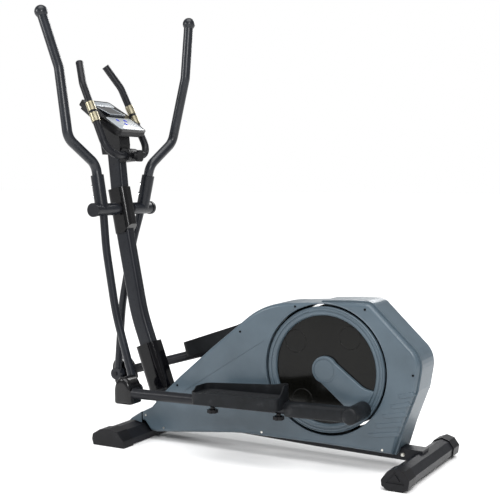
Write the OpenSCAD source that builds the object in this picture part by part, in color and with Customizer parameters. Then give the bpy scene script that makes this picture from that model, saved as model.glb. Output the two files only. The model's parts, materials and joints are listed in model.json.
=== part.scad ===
/* [Frame] */
// Height of the swing-arm pivot above the floor
pivot_z = 880; // [870:1:890]
// Distance of the pivot ahead of the origin
pivot_ahead = 554; // [550:1:558]
// Half length of the pivot shaft with its end caps
pivot_half = 192; // [188:1:196]
// Width of the main rail
rail_w = 60; // [50:1:64]
// Wall thickness of the main rail
rail_wall = 2.5; // [2:0.5:4]
// Half length of the front stabiliser
front_half = 246; // [238:1:252]
// Half length of the rear stabiliser
rear_half = 258; // [250:1:264]
// Depth of the mast tube, front to back
mast_depth = 64; // [60:1:68]
// Width of the mast tube
mast_w = 46; // [42:1:48]

/* [Linkage] */
// Height of the crank axle
crank_z = 335; // [330:1:340]
// Distance of the crank axle behind the origin
crank_behind = 358; // [352:1:362]
// Crank radius, half the stride
crank_r = 194; // [190:1:196]
// Angle of the left crank below the rearward horizontal
crank_angle = 38; // [34:1:42]
// Pedal arm length, from crank pin to front joint
arm_len = 921; // [916:1:926]
// Swing arm length, from pivot to front joint
swing_len = 697; // [694:1:700]
// Distance of the swing tubes from the centre plane
swing_y = 127; // [126:0.5:127.5]
// Distance of the pedal arms from the centre plane
arm_y = 192; // [190:1:196]

/* [Shroud] */
// Half width over the side panels
shroud_half = 80; // [78:1:82]
// Wall thickness of the panels
panel_t = 3; // [2.5:0.5:3.5]
// Radius of the round opening at the crank
opening_r = 231; // [230:0.5:232]
// Outer radius of the crank discs
disc_r = 222; // [218:1:223]

/* [Pedals] */
// Length of a foot tray
tray_len = 344; // [336:1:348]
// Width of a foot tray
tray_w = 119; // [112:1:120]
// Diameter of the pedal arm tube
arm_d = 38; // [34:1:38]

/* [Handles] */
// Diameter of the handle tube with its grip
grip_d = 38; // [34:1:39]
// Diameter of the fixed handlebar tube
bar_d = 29; // [27:1:30]

/* [Console] */
// Length of the console along its slope
console_len = 226; // [220:1:230]
// Width of the console
console_w = 214; // [206:1:216]
// Tilt of the console face from level
console_tilt = 33; // [31:1:35]

/* [Hidden] */
$fn = 64;

LEFT = -1;
RIGHT = 1;
gap = 0.3;
lap = 0.5;
hair = 0.05;
pivot = [-pivot_ahead, pivot_z];
crank = [crank_behind, crank_z];

function unit(v) = v / norm(v);
function sum(v, i = 0) = i == len(v) ? 0 : v[i] + sum(v, i + 1);
// Point at distance r and angle a from c, in the side view
function polar(c, r, a) = c + r * [cos(a), sin(a)];
// The front one of the two points at distance ra from a and rb from b
function meet(a, ra, b, rb) =
    let (d = norm(b - a), x = (d * d + ra * ra - rb * rb) / (2 * d), h = sqrt(ra * ra - x * x),
         u = (b - a) / d, n = [-u[1], u[0]], p = a + x * u + h * n, q = a + x * u - h * n)
    p[1] < q[1] ? p : q;
// Turn about +Y that carries side-view vector v onto w
function turn(v, w) = atan2(w[0], w[1]) - atan2(v[0], v[1]);
function area(pts) =
    let (n = len(pts))
    sum([for (i = [0:n - 1]) let (p = pts[i], q = pts[(i + 1) % n]) p[0] * q[1] - p[1] * q[0]]);
// Closed outline moved inward by d at each point
function inset(pts, d) =
    let (n = len(pts), s = sign(area(pts)))
    [for (i = [0:n - 1])
        let (p = pts[(i + n - 1) % n], c = pts[i], q = pts[(i + 1) % n], a = unit(c - p), b = unit(q - c),
             na = s * [-a[1], a[0]], nb = s * [-b[1], b[0]], m = unit(na + nb))
        c + m * d / max(0.5, m * na)];
// Points of an arc about c from angle a to angle b
function arc(c, r, a, b, n = 8) = [for (i = [0:n]) polar(c, r, a + (b - a) * i / n)];

// Linkage at rest
pin_left = polar(crank, crank_r, -crank_angle);
pin_right = polar(crank, crank_r, 180 - crank_angle);
joint_left = meet(pin_left, arm_len, pivot, swing_len);
joint_right = meet(pin_right, arm_len, pivot, swing_len);
function pin_of(side) = side == LEFT ? pin_left : pin_right;
function joint_of(side) = side == LEFT ? joint_left : joint_right;
// The swing arm's own frame has its lower joint at this place
joint_local = swing_len * unit([144, -682]);
joint_r = 24;
swing_tube_r = 15.5;
swing_wall = 2;
swing_out = swing_y + swing_tube_r;
tray_in = swing_out + 2.5;
tray_out = tray_in + tray_w;
pin_d = 18;
fit = 0.05;

// Places a child's local frame x, y, z at p
module at_frame(p, x, y, z) {
    multmatrix([[x[0], y[0], z[0], p[0]], [x[1], y[1], z[1], p[1]], [x[2], y[2], z[2], p[2]]]) children();
}
module ring_2d(ro, ri) {
    difference() {
        circle(r = ro);
        if (ri > 0) circle(r = ri);
    }
}
// Round tube through the points, bent to radius bend at each corner; its straights run a little
// way into the bends and are a hair slimmer, so that the pieces join cleanly
module bent_tube(pts, bend, ro, ri = 0) {
    n = len(pts) - 1;
    dirs = [for (i = [0:n - 1]) unit(pts[i + 1] - pts[i])];
    angles = [for (i = [1:n - 1]) acos(dirs[i - 1] * dirs[i])];
    trims = concat([0], [for (a = angles) bend * tan(a / 2)], [0]);
    for (i = [0:n - 1]) {
        d = dirs[i];
        side = unit(cross(d, abs(d[2]) < 0.9 ? [0, 0, 1] : [1, 0, 0]));
        lead = i == 0 ? 0 : lap;
        tail = i == n - 1 ? 0 : lap;
        length = norm(pts[i + 1] - pts[i]) - trims[i] - trims[i + 1] + lead + tail;
        at_frame(pts[i] + d * (trims[i] - lead), side, cross(d, side), d)
            linear_extrude(length) ring_2d(ro - hair, ri > 0 ? ri + hair : 0);
    }
    for (i = [1:n - 1]) {
        d = dirs[i - 1];
        axis = unit(cross(d, dirs[i]));
        inward = cross(axis, d);
        centre = pts[i] - d * trims[i] + inward * bend;
        at_frame(centre, -inward, d, axis)
            rotate_extrude(angle = angles[i - 1]) translate([bend, 0]) ring_2d(ro, ri);
    }
}
// Cylinder along Y between two widths, centred on side-view point c
module across(c, r, y0, y1, ri = 0) {
    translate([c[0], max(y0, y1), c[1]]) rotate([90, 0, 0]) difference() {
        cylinder(r = r, h = abs(y1 - y0));
        if (ri > 0) translate([0, 0, -1]) cylinder(r = ri, h = abs(y1 - y0) + 2);
    }
}
// Side-view outline extruded along Y between two widths
module slab(y0, y1) {
    translate([0, max(y0, y1), 0]) rotate([90, 0, 0]) linear_extrude(abs(y1 - y0)) children();
}
module to_side(side) {
    if (side == LEFT) children();
    else mirror([0, 1, 0]) children();
}
// Carries a left swing arm, drawn about its pivot, to its place
module swing_place(side) {
    translate([pivot[0], 0, pivot[1]])
        rotate([0, turn(joint_local, joint_of(side) - pivot), 0]) to_side(side) children();
}
// Carries a left pedal arm, drawn ahead of its crank pin, to its place
module pedal_place(side) {
    p = pin_of(side);
    translate([p[0], 0, p[1]]) rotate([0, turn([-1, 0], joint_of(side) - p), 0]) to_side(side) children();
}
module crank_place(side) {
    translate([crank[0], 0, crank[1]])
        rotate([0, crank_angle + (side == LEFT ? 0 : 180), 0]) to_side(side) children();
}

// ---- Mast and frame geometry, side view ----
mast_pts = [[-338, 96], [-478, 470], [-556, 850], [-585, 1122]];
mast_bend = 700;
mast_r = 12;
rail_pts = [[-452, 36], [-330, 36], [0, 59], [300, 48], [700, 40], [700, 80], [300, 88], [0, 99],
            [-330, 78], [-452, 78]];
flywheel_c = [28, 250];
flywheel_r = 118;
idler_x = 195;
idler_r = 20;
pulley_r = 138;
small_pulley_r = 22;
belt_y = 8;
belt_w = 14;
belt_t = 3;
// The idler runs on the outside of the belt's lower run
lower_run_a = atan2(flywheel_c[1] - crank[1], flywheel_c[0] - crank[0])
    + acos((pulley_r - small_pulley_r) / norm(flywheel_c - crank));
idler_c = [idler_x, crank[1] + (pulley_r + belt_t + idler_r + gap
    - (idler_x - crank[0]) * cos(lower_run_a)) / sin(lower_run_a)];
axle_r = 12.5;
bearing_r = 26;
tower_y = 44;
fork_y = 46;
housing_w = 14;
// Foot of the towers and fork, clear of the casing's floor
base_z = 77;

// Section of the mast tube with round corners, grown by g
module mast_section(g = 0) {
    a = mast_depth / 2 + g;
    b = mast_w / 2 + g;
    r = mast_r + g;
    square([2 * (a - r), 2 * b], center = true);
    square([2 * a, 2 * (b - r)], center = true);
    for (x = [-1, 1], y = [-1, 1]) translate([x * (a - r), y * (b - r)]) circle(r = r);
}
// Mast section grown by g, swept along its bent path and run past both ends by extra
module mast_sweep(g = 0, extra = 0) {
    n = len(mast_pts) - 1;
    dirs = [for (i = [0:n - 1]) unit(mast_pts[i + 1] - mast_pts[i])];
    angles = [for (i = [1:n - 1]) abs(turn(dirs[i - 1], dirs[i]))];
    trims = concat([0], [for (a = angles) mast_bend * tan(a / 2)], [0]);
    for (i = [0:n - 1]) {
        d = dirs[i];
        lead = i == 0 ? extra : lap;
        tail = i == n - 1 ? extra : lap;
        start = mast_pts[i] + d * (trims[i] - lead);
        length = norm(mast_pts[i + 1] - mast_pts[i]) - trims[i] - trims[i + 1] + lead + tail;
        at_frame([start[0], 0, start[1]], [d[1], 0, -d[0]], [0, 1, 0], [d[0], 0, d[1]])
            linear_extrude(length) mast_section(g - hair);
    }
    for (i = [1:n - 1]) {
        d = dirs[i - 1];
        back = [d[1], 0, -d[0]];
        centre = mast_pts[i] - d * trims[i] + mast_bend * [back[0], back[2]];
        at_frame([centre[0], 0, centre[1]], -back, [d[0], 0, d[1]], [0, 1, 0])
            rotate_extrude(angle = angles[i - 1]) translate([mast_bend, 0]) mast_section(g);
    }
}

// ---- Base ----
module box_2d(p, q) {
    translate(p) square(q - p);
}
module circle_at(c, r) {
    translate(c) circle(r = r);
}
module rail_body() {
    difference() {
        slab(-rail_w / 2, rail_w / 2) polygon(rail_pts);
        slab(-rail_w / 2 + rail_wall, rail_w / 2 - rail_wall) polygon(inset(rail_pts, rail_wall));
    }
}
// Plate that carries one crank bearing, with its gussets to the rail
module crank_tower(side) {
    slab(side * tower_y, side * (tower_y - 4)) difference() {
        polygon(concat([[270, base_z], [450, base_z]], arc(crank, 36, -10, 190)));
        circle_at(crank, bearing_r);
        circle_at([360, 190], 26);
    }
    slab(side * tower_y, side * (tower_y - housing_w)) difference() {
        circle_at(crank, bearing_r + 4);
        circle_at(crank, bearing_r);
    }
    for (x = [285, 430]) slab(side * rail_w / 2, side * (tower_y - 4)) box_2d([x - 15, base_z], [x + 15, 85]);
}
module flywheel_fork(side) {
    slab(side * fork_y, side * (fork_y - 4)) difference() {
        polygon(concat([[-22, base_z], [78, base_z]], arc(flywheel_c, 22, -5, 185)));
        circle_at(flywheel_c, fork_bolt_r);
    }
    slab(side * rail_w / 2, side * (fork_y - 4)) box_2d([-20, base_z], [76, 90]);
}
fork_bolt_r = 6;
socket_len = 130;
idler_pin_r = 5;
brake_pin_r = 4;
brake_c = polar(flywheel_c, flywheel_r + 16, 208);
module mast_socket() {
    d = unit(mast_pts[1] - mast_pts[0]);
    difference() {
        at_frame([mast_pts[0][0], 0, mast_pts[0][1]], [d[1], 0, -d[0]], [0, 1, 0], [d[0], 0, d[1]])
            difference() {
                translate([0, 0, -30]) linear_extrude(socket_len) mast_section(5);
                translate([0, 0, -0.1]) linear_extrude(socket_len) mast_section(gap / 2);
            }
        slab(-rail_w, rail_w) polygon([[-460, 0], [-200, 0], [-200, 86], [-330, 77], [-460, 77]]);
    }
}
module base_frame() {
    color("#26272b") {
        rail_body();
        for (side = [LEFT, RIGHT]) {
            crank_tower(side);
            flywheel_fork(side);
        }
        side_post(idler_c, 26, -16, 8, idler_pin_r, belt_y + 9);
        side_post(brake_c, 22, -30, -6, brake_pin_r, -1);
        mast_socket();
    }
}
// Posts on the rail for the idler and the brake shoe
module side_post(c, w, y, t, pin_r, pin_end) {
    slab(y, y + t) polygon([[c[0] - w, 70], [c[0] + w, 70], [c[0] + 10, c[1] + 10], [c[0] - 10, c[1] + 10]]);
    across(c, pin_r, y, pin_end);
}

front_profile = [[-520, 0], [-527, 22], [-523, 41], [-492, 60], [-452, 66], [-412, 58], [-384, 26],
                 [-380, 0]];
cap_len = 62;
cap_wall = 4;
tube_wall = 3;
// Stabiliser tube between its end caps, notched where the rail lies in it
module stabiliser(profile, half) {
    difference() {
        slab(-half + cap_len, half - cap_len) polygon(inset(profile, cap_wall));
        slab(-half, half) polygon(inset(profile, cap_wall + tube_wall));
        slab(-rail_w / 2 - gap, rail_w / 2 + gap) polygon(inset(rail_pts, -gap));
    }
}
// End cap with a spigot-deep socket for the tube
module stabiliser_cap(profile, half, side) {
    difference() {
        slab(side * (half - cap_len), side * half) polygon(profile);
        slab(side * (half - cap_len - 1), side * (half - cap_len + 8))
            polygon(inset(profile, cap_wall - gap));
        slab(side * (half - cap_len), side * (half - 5)) polygon(inset(profile, cap_wall + 2));
    }
}
module front_stabiliser() { color("#1f2023") stabiliser(front_profile, front_half); }
module front_cap_left() { color("#1b1b1e") stabiliser_cap(front_profile, front_half, LEFT); }
module front_cap_right() { color("#1b1b1e") stabiliser_cap(front_profile, front_half, RIGHT); }

rear_profile = [[658, 4], [642, 16], [640, 34], [662, 64], [690, 76], [718, 68], [737, 42], [733, 14],
                [714, 4]];
rear_foot = [[662, 0], [712, 0], [718, 10], [656, 10]];
module rear_stabiliser() { color("#26272a") stabiliser(rear_profile, rear_half); }
module rear_cap(side) {
    color("#1b1b1e") {
        difference() {
            stabiliser_cap(rear_profile, rear_half, side);
            slab(side * (rear_half - 3), side * (rear_half + 1)) difference() {
                polygon([[656, 26], [720, 26], [690, 68]]);
                polygon([[672, 35], [704, 35], [689, 56]]);
            }
        }
        slab(side * (rear_half - cap_len + 6), side * (rear_half - 6)) polygon(rear_foot);
    }
}
module rear_cap_left() { rear_cap(LEFT); }
module rear_cap_right() { rear_cap(RIGHT); }

// ---- Mast ----
mast_wall = 2.5;
hub_r = 24;
pivot_shaft_r = 10;
module mast() {
    color("#32353c") difference() {
        mast_sweep();
        mast_sweep(-mast_wall, 1);
        across(pivot, pivot_shaft_r, -mast_w, mast_w);
    }
}
module mast_leg(from, to, g) {
    d = unit(mast_pts[1] - mast_pts[0]);
    p = mast_pts[0] + d * from;
    at_frame([p[0], 0, p[1]], [d[1], 0, -d[0]], [0, 1, 0], [d[0], 0, d[1]])
        linear_extrude(to - from) mast_section(g);
}
boot_from = 96;
boot_to = 278;
module mast_boot() {
    color("#09090c") difference() {
        mast_leg(boot_from, boot_to, 16);
        mast_leg(boot_from - 1, boot_to - 5, 12);
        mast_leg(boot_from - 1, boot_to + 1, gap);
        slab(-60, 60) polygon([[-520, 60], [-250, 60], [-250, 270], [-410, 134], [-520, 100]]);
    }
}
collar_tail = 92;
module mast_collar() {
    d = unit(mast_pts[2] - mast_pts[1]);
    p = pivot - [0, collar_tail];
    color("#17181b") difference() {
        at_frame([p[0] + 18, 0, p[1]], [d[1], 0, -d[0]], [0, 1, 0], [d[0], 0, d[1]])
            linear_extrude(176) mast_section(9);
        mast_sweep(gap, 1);
        slab(-60, 60) polygon([[-700, 700], [-565, 740], [-480, 850], [-380, 850], [-380, 700]]);
        across(pivot, pivot_shaft_r + gap, -60, 60);
    }
}
module pivot_shaft() {
    color("#2b2c30") {
        across(pivot, pivot_shaft_r, -pivot_half + 6, pivot_half - 6);
        for (side = [LEFT, RIGHT]) {
            across(pivot, hub_r + 2.5, side * (pivot_half - 12), side * pivot_half);
            across(pivot, hub_r - 3, side * (mast_w / 2 + 9.5), side * (hub_in - gap));
        }
    }
}

// ---- Shroud ----
// Side outline of the panels: up the square front end beside the nose, over the top, down the
// back, along the underside and over the front stabiliser
nose_pts = [[-500, 34], [-493, 46], [-462, 74], [-418, 102]];
shroud_back = [[688, 291], [668, 237], [643, 170], [611, 66]];
panel_front = [[-376, 33], [-404, 66], [-418 + gap, 68], [-418 + gap, 102]];
shroud_pts = concat(panel_front, [[-375, 124], [-320, 186], [-246, 255], [-104, 377]],
    arc([230, 261], 300, 129, 90, 7), [[336, 569], [440, 575]], arc([505, 536], 40, 90, 48, 4),
    arc([616, 370], 84, 41, -12, 6), shroud_back, [[348, 71], [15, 70], [-352, 30]]);
// Half width and inset of the panel's rounded edge, from the joint line out
edge_rings = [[0.15, 0], [62, 0], [71, 1.5], [76, 4.5], [79, 8.5], [80, 13]];
module lofted_shell(pts, rings, t) {
    n = len(pts);
    m = len(rings);
    face_y = rings[m - 1][0];
    outer = [for (r = rings, p = inset(pts, r[1])) [p[0], -r[0], p[1]]];
    inner = [for (r = rings, p = inset(pts, r[1] + t)) [p[0], -min(r[0], face_y - t), p[1]]];
    at = function(base, k, i) base + k * n + i % n;
    walls = [for (k = [0:m - 2], i = [0:n - 1])
        [at(0, k, i), at(0, k, i + 1), at(0, k + 1, i + 1), at(0, k + 1, i)]];
    inner_walls = [for (k = [0:m - 2], i = [0:n - 1])
        [at(m * n, k, i), at(m * n, k + 1, i), at(m * n, k + 1, i + 1), at(m * n, k, i + 1)]];
    rim = [for (i = [0:n - 1]) [at(0, 0, i), at(m * n, 0, i), at(m * n, 0, i + 1), at(0, 0, i + 1)]];
    face = [for (i = [0:n - 1]) (m - 1) * n + i];
    inner_face = [for (i = [0:n - 1]) m * n + (m - 1) * n + n - 1 - i];
    polyhedron(concat(outer, inner), concat(walls, inner_walls, rim, [face], [inner_face]), convexity = 10);
}
module rail_openings() {
    slab(-rail_w / 2 - 3, rail_w / 2 + 3) polygon(inset(rail_pts, -4));
    mast_leg(-30, 330, 18);
}
module shroud_panel(side) {
    color("#5f717b") to_side(side) difference() {
        lofted_shell(shroud_pts, edge_rings, panel_t);
        across(crank, opening_r, -shroud_half - 5, -60);
        rail_openings();
    }
}
module shroud_left() { shroud_panel(LEFT); }
module shroud_right() { shroud_panel(RIGHT); }
cap_half = 60;
cap_rise = 6;
cap_line = concat([[334, 569 + gap], [440, 575 + gap]], arc([505, 536], 40 + gap, 90, 48, 4),
    arc([616, 370], 84 + gap, 41, -12, 6), [for (p = shroud_back) p + [gap, 0]]);
module shroud_rear_cap() {
    n = len(cap_line);
    top = [for (i = [n - 1:-1:1])
        let (d = unit(cap_line[i] - cap_line[i - 1])) cap_line[i] + cap_rise * [-d[1], d[0]]];
    color("#66757a") difference() {
        slab(-cap_half, cap_half) polygon(concat(cap_line, top, [cap_line[0] + [8, cap_rise]]));
        rail_openings();
    }
}
nose_half = shroud_half - 3;
module shroud_nose() {
    color("#5f717b") difference() {
        slab(-nose_half, nose_half) polygon(concat(nose_pts, [[-418, 34]]));
        slab(-nose_half + panel_t, nose_half - panel_t)
            polygon([[-495, 20], [-489, 44], [-460, 70], [-410, 101], [-400, 20]]);
        slab(-nose_half - 1, nose_half + 1) polygon(inset(front_profile, -1));
        across(inlet_at, inlet_r + gap, nose_half - panel_t - 1, nose_half + 1);
        rail_openings();
    }
}
panel_screw_at = [[243, 550], [507, 555], [681, 345], [21, 445], [-251, 222], [-314, 52], [110, 86],
                  [574, 80], [-396, 92]];
module panel_screws() {
    color("silver") for (p = panel_screw_at, side = [LEFT, RIGHT])
        across(p, 4, side * shroud_half, side * (shroud_half + 1.5));
}
module bolt_head(c, y, side, r = 8) {
    across(c, r, y, y + side * 2);
    slab(y + side * 2, y + side * 8) translate(c) circle(r = r * 0.8, $fn = 6);
}
module frame_bolts() {
    color("silver") {
        for (side = [LEFT, RIGHT]) bolt_head([630, 60], side * rail_w / 2, side, 6.5);
        for (side = [LEFT, RIGHT]) bolt_head(mast_pts[0] + [-10, 60], side * (mast_w / 2 + 5), side);
    }
}

// ---- Drive ----
module crank_axle() {
    color("silver") across(crank, axle_r, -76, 76);
}
module crank_bearings() {
    color("lightgray") for (side = [LEFT, RIGHT])
        across(crank, bearing_r - fit, side * (tower_y - 12), side * tower_y, axle_r + fit);
}
arm_in = 54;
arm_out = 64;
crank_boss_r = 14;
// Steel crank arm with the boss that faces the pedal arm's sleeve
module crank_arm(side) {
    color("#3a3b3f") crank_place(side) {
        difference() {
            union() {
                across([0, 0], 26, -arm_out, -arm_in);
                across([crank_r, 0], 18, -arm_out, -arm_in);
                slab(-arm_out, -arm_in) polygon([[0, 24], [crank_r, 17], [crank_r, -17], [0, -24]]);
            }
            across([0, 0], axle_r, -arm_out - 1, -arm_in + 1);
        }
        across([crank_r, 0], crank_boss_r, -cover_out - 1.5, -arm_out);
    }
}
module crank_arm_left() { crank_arm(LEFT); }
module crank_arm_right() { crank_arm(RIGHT); }
disc_in = 66;
disc_t = 3;
plate_r = 192;
module crank_disc(side) {
    color("#0b0b0a") crank_place(side) difference() {
        across([0, 0], plate_r, -disc_in - disc_t, -disc_in);
        across([0, 0], axle_r + 0.5, -80, -50);
        across([crank_r, 0], 15, -80, -50);
    }
}
module crank_disc_left() { crank_disc(LEFT); }
module crank_disc_right() { crank_disc(RIGHT); }
ring_in = 69.2;
ring_out = 82;
cover_out = 90;
hub_cover_r = 44;
// Rim ring with the moulded cover of the crank arm
module crank_ring(side) {
    tip = polar([0, 0], 203, 0);
    color("#5f717b") crank_place(side) difference() {
        union() {
            translate([0, -ring_out, 0]) rotate([-90, 0, 0]) rotate_extrude()
                polygon([[plate_r - 2, ring_out - ring_in], [plate_r, 3], [plate_r + 5, 0], [disc_r - 4, 0],
                         [disc_r, 4], [disc_r, ring_out - ring_in]]);
            across([0, 0], hub_cover_r, -cover_out, -ring_in);
            slab(-cover_out + 2, -ring_in)
                polygon([[0, 42], [tip[0] - 8, 62], [tip[0] + 6, 40], [tip[0] + 8, 0], [tip[0] + 6, -40],
                         [tip[0] - 8, -62], [0, -42]]);
        }
        across([0, 0], axle_r + 0.5, -78, -60);
        across([crank_r, 0], 15, -100, -60);
    }
}
module crank_ring_left() { crank_ring(LEFT); }
module crank_ring_right() { crank_ring(RIGHT); }
module drive_pulley() {
    color("#2c2d30") translate([crank[0], belt_y, crank[1]]) rotate([90, 0, 0]) difference() {
        rotate_extrude() polygon([[axle_r, -14], [28, -14], [28, -4], [118, -4], [118, -8],
            [pulley_r - 2, -8],
            [pulley_r - 2, -7], [pulley_r, -7], [pulley_r, 7], [pulley_r - 2, 7], [pulley_r - 2, 8], [118, 8],
            [118, 4], [28, 4], [28, 14], [axle_r, 14]]);
        for (i = [0:5]) rotate(60 * i) translate([74, 0, -10]) cylinder(r = 24, h = 20);
    }
}
// Outline of a belt that wraps the two pulleys, r larger than their rims
function belt_line(r) =
    let (d = flywheel_c - crank, a = atan2(d[1], d[0]), w = acos((pulley_r - small_pulley_r) / norm(d)))
    concat(arc(crank, pulley_r + r, a + w, a + 360 - w, 48),
           arc(flywheel_c, small_pulley_r + r, a - w, a + w, 16));
module drive_belt() {
    color("#151515") slab(belt_y - belt_w / 2, belt_y + belt_w / 2) difference() {
        polygon(belt_line(belt_t));
        polygon(belt_line(2 * gap));
    }
}
module flywheel() {
    color("#8b8d90") translate([flywheel_c[0], 0, flywheel_c[1]]) rotate([90, 0, 0]) rotate_extrude()
        polygon([[fork_bolt_r + fit, -18], [14, -18], [14, -16], [small_pulley_r, -16], [small_pulley_r, 1],
                 [26, 1], [26, 10], [flywheel_r - 22, 10], [flywheel_r - 22, 3], [flywheel_r, 3],
                 [flywheel_r, 31], [flywheel_r - 22, 31], [flywheel_r - 22, 22], [26, 22], [26, 30],
                 [fork_bolt_r + fit, 30]]);
}
module flywheel_axle() {
    color("silver") {
        across(flywheel_c, fork_bolt_r - fit, -fork_y - 8, fork_y + 8);
        for (side = [LEFT, RIGHT]) slab(side * (fork_y + gap), side * (fork_y + 6)) difference() {
            translate(flywheel_c) circle(r = 9, $fn = 6);
            circle_at(flywheel_c, fork_bolt_r - fit);
        }
    }
}
module idler_wheel() {
    color("#3b3c40") across(idler_c, idler_r, belt_y - 8, belt_y + 8, idler_pin_r + fit);
}
// Curved brake shoe with its magnets, hinged at its lower end
module brake_magnets() {
    y0 = -29;
    y1 = -3;
    gap_r = flywheel_r + 4;
    shoe_r = flywheel_r + 9;
    color("#6b6c70") difference() {
        union() {
            slab(y0, y1)
                polygon(concat(arc(flywheel_c, shoe_r, 206, 128, 14),
                    arc(flywheel_c, shoe_r + 4, 128, 206, 14)));
            for (a = [145, 165, 185]) slab(y0 + 3, y1 - 3)
                polygon(concat(arc(flywheel_c, shoe_r + 1, a - 6, a + 6, 3),
                               arc(flywheel_c, gap_r, a + 6, a - 6, 3)));
            across(brake_c, 8, y0, y1);
        }
        across(brake_c, brake_pin_r + fit, y0 - 1, y1 + 1);
    }
}
module brake_motor() {
    color("#222428") {
        slab(-24, 16) box_2d([-150, 104], [-100, 150]);
        across([-118, 158], 10, -14, 6);
    }
}
inlet_at = [-428, 79];
inlet_r = 7;
module power_inlet() {
    color("#121214") {
        across(inlet_at, 9, nose_half + gap, nose_half + 4, 4);
        across(inlet_at, inlet_r, nose_half - 14, nose_half + gap, 4);
        across(inlet_at, inlet_r, nose_half - 17, nose_half - 14);
    }
}

// ---- Pedal arms, drawn for the left side with the crank pin at the origin ----
arm_r = arm_d / 2;
tray_rear = -249;
tray_front = tray_rear - tray_len;
tread_z = 36;
knob_x = [-540, -275];
knob_r = 20;
stud_r = 4;
hub_y = tray_in + 2;
joint_pin_r = 8;
module pedal_arm(side) {
    color("#2e2f33") pedal_place(side) {
        difference() {
            union() {
                across([0, 0], arm_r + 1, -arm_y - arm_r, -cover_out - 4);
                translate([-12, -arm_y, 0]) rotate([0, -90, 0]) difference() {
                    cylinder(r = arm_r, h = arm_len - 30);
                    translate([0, 0, 12]) cylinder(r = arm_r - 2.5, h = arm_len - 54);
                }
            }
            across([0, 0], pin_d / 2 + fit, -arm_y + 7, -60);
            for (x = knob_x) translate([x, -arm_y, -arm_r - 1]) cylinder(r = stud_r + fit, h = arm_r);
        }
        across([-arm_len, 0], joint_r, -arm_y - arm_r - 1, -hub_y);
        across([-arm_len, 0], joint_pin_r, -hub_y, -swing_y + 21);
    }
}
module pedal_arm_left() { pedal_arm(LEFT); }
module pedal_arm_right() { pedal_arm(RIGHT); }
module tray_plan(g) {
    r = 26 - g;
    translate([tray_front + g, -tray_out + g]) {
        w = tray_len - 2 * g;
        h = tray_w - 2 * g;
        translate([r, 0]) square([w - 2 * r, h]);
        translate([0, r]) square([w, h - 2 * r]);
        for (x = [r, w - r], y = [r, h - r]) translate([x, y]) circle(r = r);
    }
}
wall_t = 4;
rear_wall_z = 79;
front_wall_z = 56;
module foot_tray(side) {
    color("#232427") pedal_place(side) difference() {
        linear_extrude(rear_wall_z) tray_plan(0);
        translate([0, 0, tread_z]) linear_extrude(rear_wall_z) tray_plan(wall_t);
        translate([0, 0, -1]) linear_extrude(tread_z - 4) difference() {
            tray_plan(wall_t);
            for (x = [0.2, 0.5, 0.8])
                translate([tray_front + x * tray_len - 2, -tray_out]) square([4, tray_w]);
        }
        // The wall falls from the rear to the front, and away on the outer side
        slab(-tray_out - 1, -tray_in + 1) polygon([[tray_front - 1, front_wall_z],
            [tray_rear - 70, rear_wall_z - 9],
            [tray_rear - 20, rear_wall_z], [tray_rear, 200], [tray_front - 1, 200]]);
        translate([tray_front - 1, 0, 0]) rotate([90, 0, 90]) linear_extrude(tray_len + 2)
            polygon([[-tray_out - 1, tread_z + 5], [-tray_out + 30, tread_z + 8],
                [-tray_out + 48, tread_z + 20],
                     [-tray_out + 70, rear_wall_z + 1], [-tray_out - 1, rear_wall_z + 1]]);
        translate([tray_front - 1, -arm_y, 0]) rotate([0, 90, 0]) cylinder(r = arm_r + gap, h = tray_len + 2);
        slab(-arm_y - arm_r - gap, -arm_y + arm_r + gap) box_2d([tray_front - 1, -1], [tray_rear + 1, 0]);
    }
}
module foot_tray_left() { foot_tray(LEFT); }
module foot_tray_right() { foot_tray(RIGHT); }
module tray_knob(side, x) {
    color("#141416") pedal_place(side) translate([x, -arm_y, 0]) {
        translate([0, 0, -41]) linear_extrude(12) difference() {
            circle(r = knob_r);
            for (a = [0:60:300]) rotate(a) translate([knob_r + 4, 0]) circle(r = 8);
        }
        translate([0, 0, -29]) cylinder(r = 8, h = 9 - gap);
        translate([0, 0, -21]) cylinder(r = stud_r, h = 21);
    }
}
module tray_knob_left_front() { tray_knob(LEFT, knob_x[0]); }
module tray_knob_left_rear() { tray_knob(LEFT, knob_x[1]); }
module tray_knob_right_front() { tray_knob(RIGHT, knob_x[0]); }
module tray_knob_right_rear() { tray_knob(RIGHT, knob_x[1]); }
// Two-part cover over the joint between pedal arm and swing arm
cover_pts = concat([[38, -42], [38, 18]], arc([0, 22], 38, 0, 180, 10), [[-38, -20]],
    arc([-20, -24], 18, 180, 270, 4));
module joint_cover(side) {
    color("#1a1b1e") pedal_place(side) translate([-arm_len, 0, 0]) difference() {
        slab(-arm_y - arm_r - 7, -hub_y + 1) polygon(cover_pts);
        slab(-arm_y - arm_r - 4, -hub_y + 2) polygon(inset(cover_pts, 3));
        translate([0, -arm_y, 0]) rotate([0, 90, 0]) cylinder(r = arm_r + gap, h = 60);
    }
}
module joint_cover_left() { joint_cover(LEFT); }
module joint_cover_right() { joint_cover(RIGHT); }

// ---- Swing arms, drawn for the left side about the pivot ----
hub_in = 52;
hub_out = pivot_half - 13;
socket_y = -134;
socket_r = 25;
socket_base = [0, socket_y, 0];
socket_top = [-22, socket_y, 131];
socket_len_up = norm(socket_top - socket_base);
core_from = 72;
swing_bend = 900;
grip_bend = 55;
grip_wall = 5;
ball_r = 25;
handle_r = grip_d / 2;
handle_core_r = 16;
tube_pts = [[0, -swing_y, 0], [12, -swing_y, -150], [56, -swing_y, -400],
            [joint_local[0], -swing_y, joint_local[1]]];
handle_path = [[-29, socket_y, 172], [-50, -271, 268], [-88, -272, 530], [-160, -283, 738]];
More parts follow.
